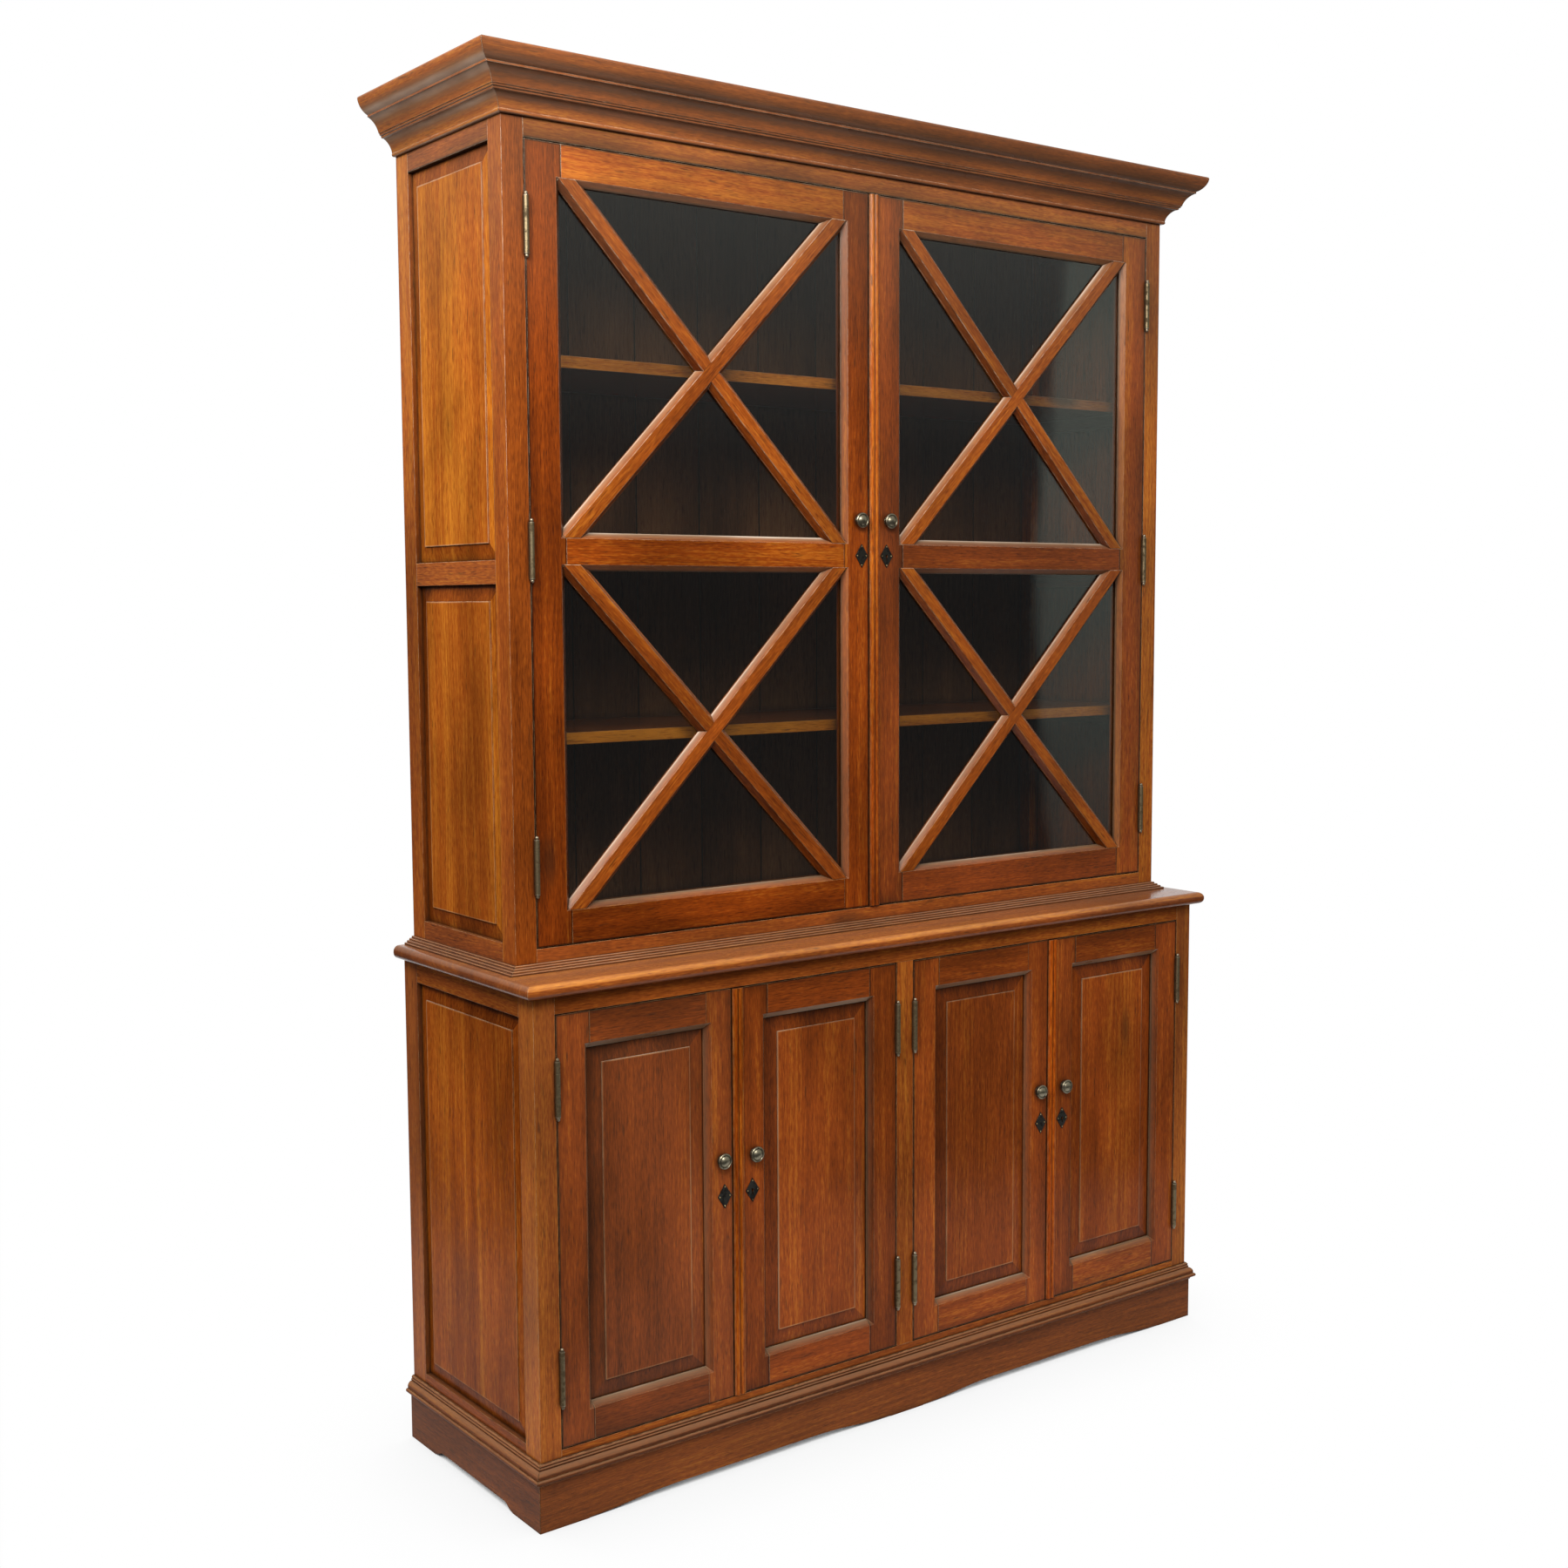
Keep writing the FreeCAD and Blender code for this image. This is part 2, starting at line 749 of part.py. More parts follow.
lower_blanks = post_blanks("lower")
lower_rails, lower_panels, lower_cutters = side_frames(
    "lower", [("lower_recess_low", "lower_recess_high")])
lower_top_front, lower_top_tongue = front_rail("lower", "lower_open_high", "lower_top")
lower_bottom_front, lower_bottom_tongue = front_rail("lower", "plinth_height", "lower_open_low")
centre_stile, centre_tongue = tongued_rail(
    ("-centre_stile / 2", "lower_front", "lower_open_low"),
    ("centre_stile / 2", "lower_front + face_rail", "lower_open_high"),
    ("-centre_stile / 4", "lower_front + tenon_setback", "lower_open_low - tenon_length"),
    ("centre_stile / 4", "lower_front + tenon_setback + tenon_thickness", "lower_open_high + tenon_length"))

lower_posts = []
for (hand, place_name), blank in lower_blanks.items():
    tools = lower_cutters[hand] + [lower_top_tongue, lower_bottom_tongue]
    if place_name == "front":
        tools = tools + leaf_pockets(f"lower_{hand}", hand, False)
    lower_posts.append(cut(blank, tools))
node("lower_posts", lower_posts)

stile_pockets = leaf_pockets("lower_left", "right", False) + leaf_pockets("lower_right", "left", False)
lower_rails += [cut(lower_top_front, [centre_tongue]), cut(lower_bottom_front, [centre_tongue]),
                cut(centre_stile, stile_pockets)]
node("lower_rails", lower_rails)
node("lower_side_panels", lower_panels)

lower_inner = "(lower_side - side_rail)"
lower_behind = "lower_front + face_rail"
lower_floor_board = cut(
    box((f"-{lower_inner}", lower_behind, "lower_floor - board"),
        (lower_inner, "back_inner", "lower_floor")),
    list(lower_blanks.values()))
partition = box(("-partition / 2", lower_behind, "lower_floor"),
                ("partition / 2", "back_inner", "lower_top"))
lower_boards = [lower_floor_board, partition]
shelf_front = "lower_front + lower_post_depth + shelf_setback"
for near, far in ((f"-{lower_inner}", "-partition / 2"), ("partition / 2", lower_inner)):
    lower_boards.append(cut(
        box((near, shelf_front, "lower_shelf_top - shelf"), (far, "back_inner", "lower_shelf_top")),
        list(lower_blanks.values())))
node("lower_boards", lower_boards)

cleats = []
for near, far in ((f"-{lower_inner}", f"-{lower_inner} + cleat_width"),
                  ("-partition / 2 - cleat_width", "-partition / 2"),
                  ("partition / 2", "partition / 2 + cleat_width"),
                  (f"{lower_inner} - cleat_width", lower_inner)):
    cleats.append(box((near, shelf_front, "lower_shelf_top - shelf - cleat_height"),
                      (far, "back - lower_post_depth", "lower_shelf_top - shelf")))
for near, far in (("-lower_open_side", "-partition / 2"), ("partition / 2", "lower_open_side")):
    cleats.append(box((near, lower_behind, "lower_open_high - stop_lip"),
                      (far, f"{lower_behind} + stop_width", "lower_top")))

# Counter with a rounded nose on the front and both ends

counter = new_body()
counter_side = "lower_side + counter_overhang"
counter_front = "lower_front - counter_overhang"
counter_pad = pad(counter, sketch_on(counter, "XY_Plane", [[
    (f"-({counter_side})", counter_front), (counter_side, counter_front),
    (counter_side, "back"), (f"-({counter_side})", "back")]]), "counter_thickness")
doc.recompute()
nose_edges = []
for number, edge in enumerate(counter_pad.Shape.Edges, start=1):
    start, end = [vertex.Point for vertex in edge.Vertexes]
    level = abs(start.z - end.z) < 0.001
    at_back = min(start.y, end.y) > value("back") - 0.001
    if level and not at_back:
        nose_edges.append(f"Edge{number}")
nose = counter.newObject("PartDesign::Fillet", "nose")
nose.Base = (counter_pad, nose_edges)
tie(nose, "Radius", "counter_nose")
place(counter, "0", "0", "lower_top")
node("counter_top", [counter])

# Upper case

waist_steps = [("waist_reach", "0")]
for index in range(4):
    waist_steps.append(("0", "waist_rise - waist_round"))
    waist_steps.append(("-waist_round", "waist_round", "round", 0.7072))
    if index < 3:
        waist_steps.append(("waist_round - waist_run", "0"))
moulding("waist_moulding", section(waist_steps), "upper_side", "upper_front", "waist_reach",
         "counter_height")

upper_blanks = post_blanks("upper")
upper_rails, upper_panels, upper_cutters = side_frames(
    "upper", [("upper_recess_low", "side_mid_low"), ("side_mid_high", "upper_recess_high")])
frieze, frieze_tongue = front_rail("upper", "upper_open_high", "upper_top")
upper_bottom, upper_bottom_tongue = front_rail("upper", "counter_height", "upper_open_low")
upper_posts = []
for (hand, place_name), blank in upper_blanks.items():
    tools = upper_cutters[hand] + [frieze_tongue, upper_bottom_tongue]
    if place_name == "front":
        tools = tools + leaf_pockets("upper", hand, False)
    upper_posts.append(cut(blank, tools))
node("upper_posts", upper_posts)
node("upper_rails", upper_rails + [frieze, upper_bottom])
node("upper_side_panels", upper_panels)

upper_inner = "(upper_side - side_rail)"
upper_behind = "upper_front + face_rail"
upper_shelf_front = "upper_front + upper_post_depth + shelf_setback"
upper_boards = []
for height in ("upper_floor", "upper_top"):
    upper_boards.append(cut(
        box((f"-{upper_inner}", upper_behind, f"{height} - board"), (upper_inner, "back_inner", height)),
        list(upper_blanks.values())))
for index in range(3):
    shelf_top = f"upper_floor + first_shelf + {index} * shelf_pitch"
    upper_boards.append(cut(
        box((f"-{upper_inner}", upper_shelf_front, f"{shelf_top} - shelf"),
            (upper_inner, "back_inner", shelf_top)),
        list(upper_blanks.values())))
    for near, far in ((f"-{upper_inner}", f"-{upper_inner} + cleat_width"),
                      (f"{upper_inner} - cleat_width", upper_inner)):
        cleats.append(box((near, upper_shelf_front, f"{shelf_top} - shelf - cleat_height"),
                          (far, "back - upper_post_depth", f"{shelf_top} - shelf")))
node("upper_boards", upper_boards)
cleats.append(box(("-upper_open_side", upper_behind, "upper_open_high - stop_lip"),
                  ("upper_open_side", f"{upper_behind} + stop_width", "upper_top - board")))
node("cleats_and_stops", cleats)
node("back_boards", back_slats("lower", "plinth_height", "lower_top", 10)
     + back_slats("upper", "counter_height", "upper_top", 10))

moulding("cornice", section([
    ("cornice_foot", "0"),
    ("cornice_bead_run", "cornice_bead_rise", "round", 0.6),
    ("cornice_low_cove_run", "cornice_low_cove_rise", "hollow", 1.15),
    ("cornice_quirk", "0"),
    ("cornice_reed_run", "cornice_reed_rise", "round", 0.56),
    ("cornice_reed_run", "cornice_reed_rise", "round", 0.56),
    ("cornice_quirk", "0"),
    ("cornice_high_cove_run", "cornice_high_cove_rise", "hollow", 1.2),
    ("cornice_quirk", "0"),
    ("0", "cornice_fillet"),
    ("cornice_ovolo_run", "cornice_ovolo_rise", "round", 1.05),
    ("-cornice_arris_run", "cornice_arris_rise", "round", 0.84),
]), "upper_side", "upper_front", "cornice_reach", "cornice_low")


# Doors

def door_limits(pair, hand):
    """Left and right edges of a door, and of the face of its opening."""
    bounds = PAIRS[pair]
    centre, stile, meeting = bounds["centre"], bounds["stile"], bounds["meeting"]
    if hand == "left":
        edges = (f"{bounds['left']} + door_gap", f"{centre} - astragal_width / 2 - meeting_gap")
        sight = (f"{edges[0]} + {stile}", f"{centre} - astragal_width / 2 - {meeting}")
    else:
        edges = (f"{centre} - astragal_width / 2", f"{bounds['right']} - door_gap")
        sight = (f"{centre} + astragal_width / 2 + {meeting}", f"{edges[1]} - {stile}")
    return edges, sight


def inset(limits, amount):
    return f"{limits[0]} + {amount}", f"{limits[1]} - {amount}"


def bevel_cutter(sight_x, sight_z, face, depth):
    """The space in front of an opening's bevelled edge."""
    spread = f"(bevel_width * {OVER} / {depth})"
    return frustum(f"{face} - {OVER}", inset(sight_x, f"-{spread}"), inset(sight_z, f"-{spread}"),
                   f"{face} + {depth}", inset(sight_x, "bevel_width"), inset(sight_z, "bevel_width"))


def key_x(pair, hand, offset):
    sign = "-" if hand == "left" else "+"
    return f"{PAIRS[pair]['centre']} {sign} {offset}"


def door_frame(pair, hand, rails, cutters):
    """Two stiles and the rails between them, tenoned, with everything let into them cut out."""
    edges, sight = door_limits(pair, hand)
    inner = inset(sight, "bevel_width")
    face, low, high, lock = (PAIRS[pair][key] for key in ("front", "low", "high", "lock"))
    back = f"{face} + door_thickness"
    shank = doc.addObject("Part::Cylinder", "shank_hole")
    tie(shank, "Radius", "shank_diameter / 2 + shank_clearance")
    tie(shank, "Height", f"shank_length + {2 * OVER}")
    turn(shank, (1, 0, 0), -90)
    place(shank, key_x(pair, hand, "knob_offset"), f"{face} - {OVER}", f"{lock} + knob_rise")
    cutters = cutters + [shank] + leaf_pockets(pair, hand, True)
    bolt_y = f"{face} + lock_setback + lock_thickness / 2"
    if hand == "right":
        key = key_x(pair, hand, "escutcheon_offset")
        cutters.append(box(
            (f"{edges[0]} - {OVER}", f"{face} + lock_setback", f"{lock} - lock_height / 2"),
            (f"{edges[0]} + lock_length", f"{face} + lock_setback + lock_thickness",
             f"{lock} + lock_height / 2")))
        cutters.append(box(
            (f"{key} - keyhole_slot / 2", f"{face} - {OVER}", f"{lock} - keyhole_drop"),
            (f"{key} + keyhole_slot / 2", f"{face} + lock_setback + {OVER}",
             f"{lock} + keyhole_diameter / 2")))
    else:
        cutters.append(box(
            (f"{edges[1]} + meeting_gap - bolt_throw - mortise_play",
             f"{bolt_y} - bolt_thickness / 2 - mortise_play", f"{lock} - bolt_height / 2 - mortise_play"),
            (f"{edges[1]} + {OVER}",
             f"{bolt_y} + bolt_thickness / 2 + mortise_play", f"{lock} + bolt_height / 2 + mortise_play")))
    members = []
    tongues = []
    for bottom, top in rails:
        rail, tongue = tongued_rail(
            (inner[0], face, bottom), (inner[1], back, top),
            (f"{inner[0]} - tenon_length", f"{face} + tenon_setback", f"{bottom} + bevel_width + 5"),
            (f"{inner[1]} + tenon_length", f"{face} + tenon_setback + tenon_thickness",
             f"{top} - bevel_width - 5"))
        members.append(cut(rail, cutters))
        tongues.append(tongue)
    for near, far in ((edges[0], inner[0]), (inner[1], edges[1])):
        members.append(cut(box((near, face, low), (far, back, high)), cutters + tongues))
    return members


def lattice_bar(sight_x, sight_z, face, rising):
    """One bar of the X, wider than its opening at both ends."""
    body = new_body()
    depth = "glazed_bevel_depth + glass_lip"
    half = "lattice_face / 2"
    wide = f"{half} + lattice_bevel"
    outline = [
        ("0", f"-{half}"), ("lattice_quirk", f"-{half}"), ("lattice_shoulder", f"-({wide})"),
        (depth, f"-({wide})"), (depth, wide), ("lattice_shoulder", wide),
        ("lattice_quirk", half), ("0", half)]
    width = f"({sight_x[1]} - ({sight_x[0]}))"
    height = f"({sight_z[1]} - ({sight_z[0]}))"
    pad(body, sketch_on(body, "YZ_Plane", [outline]), f"{width} + {height}", "both")
    turn(body, (0, 1, 0), 45)
    sign = "-" if rising else ""
    tie(body, "Placement.Rotation.Angle", f"{sign}atan2({height}; {width} - 2 * lattice_end)")
    place(body, f"({sight_x[0]} + {sight_x[1]}) / 2", face, f"({sight_z[0]} + {sight_z[1]}) / 2")
    return body


def glazed_door(name, pair, hand):
    edges, sight_x = door_limits(pair, hand)
    face, low, high = (PAIRS[pair][key] for key in ("front", "low", "high"))
    halves = [(f"{low} + glazed_bottom_rail", "glazed_mid - glazed_mid_rail / 2"),
              ("glazed_mid + glazed_mid_rail / 2", f"{high} - glazed_top_rail")]
    inner_x = inset(sight_x, "bevel_width")
    rebate_x = inset(inner_x, "-glass_rebate")
    glass_y = f"{face} + glazed_bevel_depth + glass_lip"
    cutters = []
    bars = []
    panes = []
    beads = []
    for sight_z in halves:
        inner_z = inset(sight_z, "bevel_width")
        rebate_z = inset(inner_z, "-glass_rebate")
        bevel = bevel_cutter(sight_x, sight_z, face, "glazed_bevel_depth")
        cutters.append(bevel)
        cutters.append(box((rebate_x[0], glass_y, rebate_z[0]),
                           (rebate_x[1], f"{face} + door_thickness + {OVER}", rebate_z[1])))
        opening = join([bevel, box((inner_x[0], f"{face} + glazed_bevel_depth", inner_z[0]),
                                   (inner_x[1], glass_y, inner_z[1]))])
        whole_bar = overlap(lattice_bar(sight_x, sight_z, face, True), opening)
        crossing_bar = overlap(lattice_bar(sight_x, sight_z, face, False), opening)
        bars += [whole_bar, cut(crossing_bar, [whole_bar])]
        pane_x = inset(rebate_x, "glass_play")
        pane_z = inset(rebate_z, "glass_play")
        panes.append(box((pane_x[0], glass_y, pane_z[0]),
                         (pane_x[1], f"{glass_y} + glass_thickness", pane_z[1])))
        bead_y = (f"{glass_y} + glass_thickness", f"{glass_y} + glass_thickness + bead_thickness")
        for near, far in ((rebate_x[0], inner_x[0]), (inner_x[1], rebate_x[1])):
            beads.append(box((near, bead_y[0], rebate_z[0]), (far, bead_y[1], rebate_z[1])))
        for near, far in ((rebate_z[0], inner_z[0]), (inner_z[1], rebate_z[1])):
            beads.append(box((inner_x[0], bead_y[0], near), (inner_x[1], bead_y[1], far)))
    rails = [(low, f"{halves[0][0]} + bevel_width"),
             (f"{halves[0][1]} - bevel_width", f"{halves[1][0]} + bevel_width"),
             (f"{halves[1][1]} - bevel_width", high)]
    node(f"{name}_frame", door_frame(pair, hand, rails, cutters))
    node(f"{name}_lattice", bars)
    node(f"{name}_glass", panes)
    node(f"{name}_glazing_beads", beads)


def panelled_door(name, pair, hand):
    edges, sight_x = door_limits(pair, hand)
    face, low, high = (PAIRS[pair][key] for key in ("front", "low", "high"))
    sight_z = inset((low, high), "panelled_rail")
    inner_x = inset(sight_x, "bevel_width")
    inner_z = inset(sight_z, "bevel_width")
    groove_x = inset(inner_x, "-groove_depth")
    groove_z = inset(inner_z, "-groove_depth")
    groove_y = f"{face} + panelled_setback"
    cutters = [
        bevel_cutter(sight_x, sight_z, face, "panelled_bevel_depth"),
        box((groove_x[0], groove_y, groove_z[0]),
            (groove_x[1], f"{groove_y} + panel_tongue", groove_z[1]))]
    rails = [(low, inner_z[0]), (inner_z[1], high)]
    node(f"{name}_frame", door_frame(pair, hand, rails, cutters))
    node(f"{name}_panel", [fielded_panel(inner_x, inner_z, face, "panelled_setback",
                                         "panelled_field_setback")])


# Hardware, drawn once and copied

def hinge_leaf(sign, knuckles):
    """A leaf on the hinge's own axis; sign says on which side of the gap it lies."""
    ends = ("door_gap / 2", "door_gap / 2 + leaf_thickness")
    if sign == "-":
        ends = ("-door_gap / 2 - leaf_thickness", "-door_gap / 2")
    pieces = [box((ends[0], "hinge_proud", "-hinge_length / 2"),
                  (ends[1], "hinge_proud + leaf_width", "hinge_length / 2"))]
    for index in knuckles:
        low = f"-hinge_length / 2 + {index} * hinge_length / 5 + knuckle_gap / 2"
        high = f"{low} + hinge_length / 5 - knuckle_gap"
        pieces.append(box((ends[0], "0", low), (ends[1], "hinge_proud", high)))
        pieces.append(rod("hinge_barrel / 2", low, high))
    bore = rod("hinge_pin / 2 + pin_clearance", f"-hinge_length / 2 - {OVER}", f"hinge_length / 2 + {OVER}")
    return cut(join(pieces), [bore])


def hinge_pin():
    body = new_body()
    half = "hinge_length / 2"
    neck = f"{half} + finial_collar"
    ball = f"{neck} + finial_ball / 2"
    tip = f"{ball} + finial_ball / 2"
    bend = "finial_ball * 0.5"
    outline = [
        ("0", f"-({tip})"),
        ("finial_ball / 2", f"-({ball})", "round", bend),
        ("finial_neck / 2", f"-({neck})", "round", bend),
        ("hinge_barrel / 2", f"-({neck})"),
        ("hinge_barrel / 2", f"-{half}"),
        ("hinge_pin / 2", f"-{half}"),
        ("hinge_pin / 2", half),
        ("hinge_barrel / 2", half),
        ("hinge_barrel / 2", neck),
        ("finial_neck / 2", neck),
        ("finial_ball / 2", ball, "round", bend),
        ("0", tip, "round", bend),
    ]
    revolve(body, sketch_on(body, "XZ_Plane", [outline]))
    return body


def knob():
    body = new_body()
    wide = "knob_diameter / 2"
    face = f"({wide} - knob_rim - knob_groove)"
    dome = "(knob_length - knob_swell - knob_rim + knob_groove)"
    under = "sqrt((knob_diameter / 2 - neck_diameter / 2) ^ 2 + (knob_swell - neck_length) ^ 2)"
    flare = "sqrt((rose_diameter / 2 - neck_diameter / 2) ^ 2 + (rose_height - rose_edge) ^ 2)"
    outline = [
        ("0", "-shank_length"),
        ("shank_diameter / 2", "-shank_length"),
        ("shank_diameter / 2", "0"),
        ("rose_diameter / 2", "0"),
        ("rose_diameter / 2", "rose_edge"),
        ("neck_diameter / 2", "rose_height", "hollow", f"0.9 * {flare}"),
        ("neck_diameter / 2", "neck_length"),
        (wide, "knob_swell", "round", f"0.66 * {under}"),
        (f"{wide} - knob_rim", "knob_swell + knob_rim", "round", "0.75 * sqrt(2) * knob_rim"),
        (face, "knob_swell + knob_rim - knob_groove"),
        ("0", "knob_length", "round", f"({face} ^ 2 + {dome} ^ 2) / (2 * {dome})"),
    ]
    revolve(body, sketch_on(body, "XY_Plane", [outline]))
    return body


def escutcheon(keyhole):
    body = new_body()
    wide, tall = "escutcheon_width / 2", "escutcheon_height / 2"
    plate = sketch_on(body, "XZ_Plane", [[("0", f"-{tall}"), (wide, "0"), ("0", tall), (f"-{wide}", "0")]])
    pad(body, plate, "escutcheon_thickness")
    if keyhole:
        eye = "keyhole_diameter / 2"
        slot = "keyhole_slot / 2"
        bend = f"0.72 * sqrt(({eye} - {slot}) ^ 2 + ({eye}) ^ 2)"
        round_bend = f"0.7072 * sqrt(2) * {eye}"
        pocket_through(body, sketch_on(body, "XZ_Plane", [[
            (f"-{slot}", "-keyhole_drop"), (slot, "-keyhole_drop"), (slot, f"-{eye}"),
            (eye, "0", "round", bend), ("0", eye, "round", round_bend),
            (f"-{eye}", "0", "round", round_bend), (f"-{slot}", f"-{eye}", "round", bend)]]))
    return body


def astragal(pair):
    """A double-reed cover strip on the meeting edge of a right-hand door."""
    body = new_body()
    half = "astragal_width / 2"
    reed = f"{half} - astragal_fillet"
    bend = f"0.52 * ({reed})"
    outline = [
        (f"-{half}", "0"), (half, "0"), (half, "astragal_edge"), (reed, "astragal_edge"),
        ("0", "astragal_edge", "round", bend), (f"-({reed})", "astragal_edge", "round", bend),
        (f"-{half}", "astragal_edge")]
    low, high = PAIRS[pair]["low"], PAIRS[pair]["high"]
    pad(body, sketch_on(body, "XY_Plane", [outline]), f"{high} - ({low})")
    turn(body, (0, 0, 1), 180)
    place(body, PAIRS[pair]["centre"], PAIRS[pair]["front"], low)
    return body


def lock_parts(pair):
    """A mortise lock in the right-hand door's meeting stile, and the bolt that slides out of it."""
    edges, sight = door_limits(pair, "right")
    face, height = PAIRS[pair]["front"], PAIRS[pair]["lock"]
    near = f"{face} + lock_setback"
    middle = f"{near} + lock_thickness / 2"
    gap = "bolt_clearance"
    case = box((edges[0], near, f"{height} - lock_height / 2"),
               (f"{edges[0]} + lock_length", f"{near} + lock_thickness", f"{height} + lock_height / 2"))
    channel = box(
        (f"{edges[0]} - {OVER}", f"{middle} - bolt_thickness / 2 - {gap}",
         f"{height} - bolt_height / 2 - {gap}"),
        (f"{edges[0]} + bolt_length + {gap}", f"{middle} + bolt_thickness / 2 + {gap}",
         f"{height} + bolt_height / 2 + {gap}"))
    bolt = box((edges[0], f"{middle} - bolt_thickness / 2", f"{height} - bolt_height / 2"),
               (f"{edges[0]} + bolt_length", f"{middle} + bolt_thickness / 2",
                f"{height} + bolt_height / 2"))
    return cut(case, [channel]), bolt


case_leaf_master = hinge_leaf("-", (0, 2, 4))
door_leaf_master = hinge_leaf("", (1, 3))
pin_master = hinge_pin()
knob_master = knob()
plain_escutcheon = escutcheon(False)
keyed_escutcheon = escutcheon(True)

case_leaves = []
pins = []
for name, (pair, hand) in DOORS.items():
    if pair == "upper":
        glazed_door(name, pair, hand)
    else:
        panelled_door(name, pair, hand)
    front, lock_height = PAIRS[pair]["front"], PAIRS[pair]["lock"]
    node(f"{name}_knob", [copy_of(knob_master, key_x(pair, hand, "knob_offset"), front,
                                  f"{lock_height} + knob_rise", (0, 0, 1), 180)])
    plate = keyed_escutcheon if hand == "right" else plain_escutcheon
    node(f"{name}_escutcheon", [copy_of(plate, key_x(pair, hand, "escutcheon_offset"), front,
                                        lock_height)])
    if hand == "left":
        axis_x, flip = f"{PAIRS[pair]['left']} + door_gap / 2", 0
    else:
        axis_x, flip = f"{PAIRS[pair]['right']} - door_gap / 2", 180
    door_leaves = []
    for height in hinge_heights(pair):
        spot = (axis_x, f"{front} - hinge_proud", height)
        case_leaves.append(copy_of(case_leaf_master, *spot, (0, 1, 0), flip))
        door_leaves.append(copy_of(door_leaf_master, *spot, (0, 1, 0), flip))
        pins.append(copy_of(pin_master, *spot))
    node(f"{name}_hinge_leaves", door_leaves)
    if hand == "right":
        lock_case, bolt = lock_parts(pair)
        node(f"{name}_astragal", [astragal(pair)])
        node(f"{name}_lock", [lock_case])
        node(f"{name}_bolt", [bolt])
node("hinge_case_leaves", case_leaves)
node("hinge_pins", pins)

# Checks and files

doc.recompute()
for item in doc.Objects:
    if "Invalid" in item.State or "Error" in item.State:
        raise RuntimeError(f"{item.Name} ({item.TypeId}) did not build: {item.State}")
os.makedirs("parts", exist_ok=True)
for item in NODES:
    if item.Shape.isNull() or not item.Shape.isValid():
        raise RuntimeError(f"{item.Label} has no sound shape")
    item.Shape.exportStep(f"parts/{item.Label}.step")
    print(item.Label, len(item.Shape.Solids), "solids")
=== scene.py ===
"""Looks of the bookcase with glass doors: boards with their own grain, glass, old metal, soft light."""

import json
import math
import random

import bmesh
import bpy
from mathutils import Matrix, Vector

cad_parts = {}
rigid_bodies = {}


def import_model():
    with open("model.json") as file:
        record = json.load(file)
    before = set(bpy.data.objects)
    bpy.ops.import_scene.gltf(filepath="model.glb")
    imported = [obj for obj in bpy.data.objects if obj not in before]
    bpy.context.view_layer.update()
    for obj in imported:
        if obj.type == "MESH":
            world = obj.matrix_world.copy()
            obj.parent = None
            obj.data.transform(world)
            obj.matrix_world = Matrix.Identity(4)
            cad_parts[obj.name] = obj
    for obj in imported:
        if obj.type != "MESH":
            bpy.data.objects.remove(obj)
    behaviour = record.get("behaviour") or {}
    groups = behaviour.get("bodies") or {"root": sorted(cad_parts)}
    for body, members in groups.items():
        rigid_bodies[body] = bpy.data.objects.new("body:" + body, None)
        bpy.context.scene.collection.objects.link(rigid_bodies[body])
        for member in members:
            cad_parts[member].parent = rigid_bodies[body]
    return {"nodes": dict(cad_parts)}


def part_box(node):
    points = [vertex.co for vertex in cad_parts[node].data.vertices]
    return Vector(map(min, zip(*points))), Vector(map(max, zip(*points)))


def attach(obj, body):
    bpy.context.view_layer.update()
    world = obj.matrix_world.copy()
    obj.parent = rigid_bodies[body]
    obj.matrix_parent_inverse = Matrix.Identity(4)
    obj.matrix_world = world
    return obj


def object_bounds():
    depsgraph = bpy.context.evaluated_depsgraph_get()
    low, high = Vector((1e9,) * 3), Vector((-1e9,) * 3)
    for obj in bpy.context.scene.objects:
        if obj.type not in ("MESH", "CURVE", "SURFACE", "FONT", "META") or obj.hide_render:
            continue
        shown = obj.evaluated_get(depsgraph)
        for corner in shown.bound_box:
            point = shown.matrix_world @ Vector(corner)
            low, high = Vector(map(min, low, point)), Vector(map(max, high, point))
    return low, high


for leftover in list(bpy.data.objects):
    bpy.data.objects.remove(leftover)

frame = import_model()
cad_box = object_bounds()
scene = bpy.context.scene
scene.view_settings.view_transform = "Standard"

TOP = cad_box[1][2]
GLAZED_MIDDLE = sum(corner[2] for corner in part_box("upper_left_door_frame")) / 2


# Shader helpers

def new_tree(name):
    material = bpy.data.materials.new(name)
    material.use_nodes = True
    material.node_tree.nodes.clear()
    return material, material.node_tree


def add(tree, kind, inputs=None, **settings):
    node = tree.nodes.new("ShaderNode" + kind)
    for key, value in settings.items():
        setattr(node, key, value)
    for socket, value in (inputs or {}).items():
        if isinstance(value, bpy.types.NodeSocket):
            tree.links.new(value, node.inputs[socket])
        else:
            node.inputs[socket].default_value = value
    return node


def attribute(tree, name, output="Fac"):
    return add(tree, "Attribute", attribute_name=name).outputs[output]


def object_place(tree):
    return add(tree, "TexCoord").outputs["Object"]


def maths(tree, operation, first, second=0.0, clamp=False):
    node = add(tree, "Math", {0: first, 1: second}, operation=operation, use_clamp=clamp)
    return node.outputs[0]


def product(tree, first, second):
    return maths(tree, "MULTIPLY", first, second)


def vector(tree, operation, first, second):
    node = add(tree, "VectorMath", {0: first, 1: second}, operation=operation)
    return node.outputs["Value" if operation == "DOT_PRODUCT" else "Vector"]


def scaled(tree, first, factor):
    return add(tree, "VectorMath", {0: first, "Scale": factor}, operation="SCALE").outputs["Vector"]


def opaque(colour):
    return (*colour, 1.0) if isinstance(colour, tuple) else colour


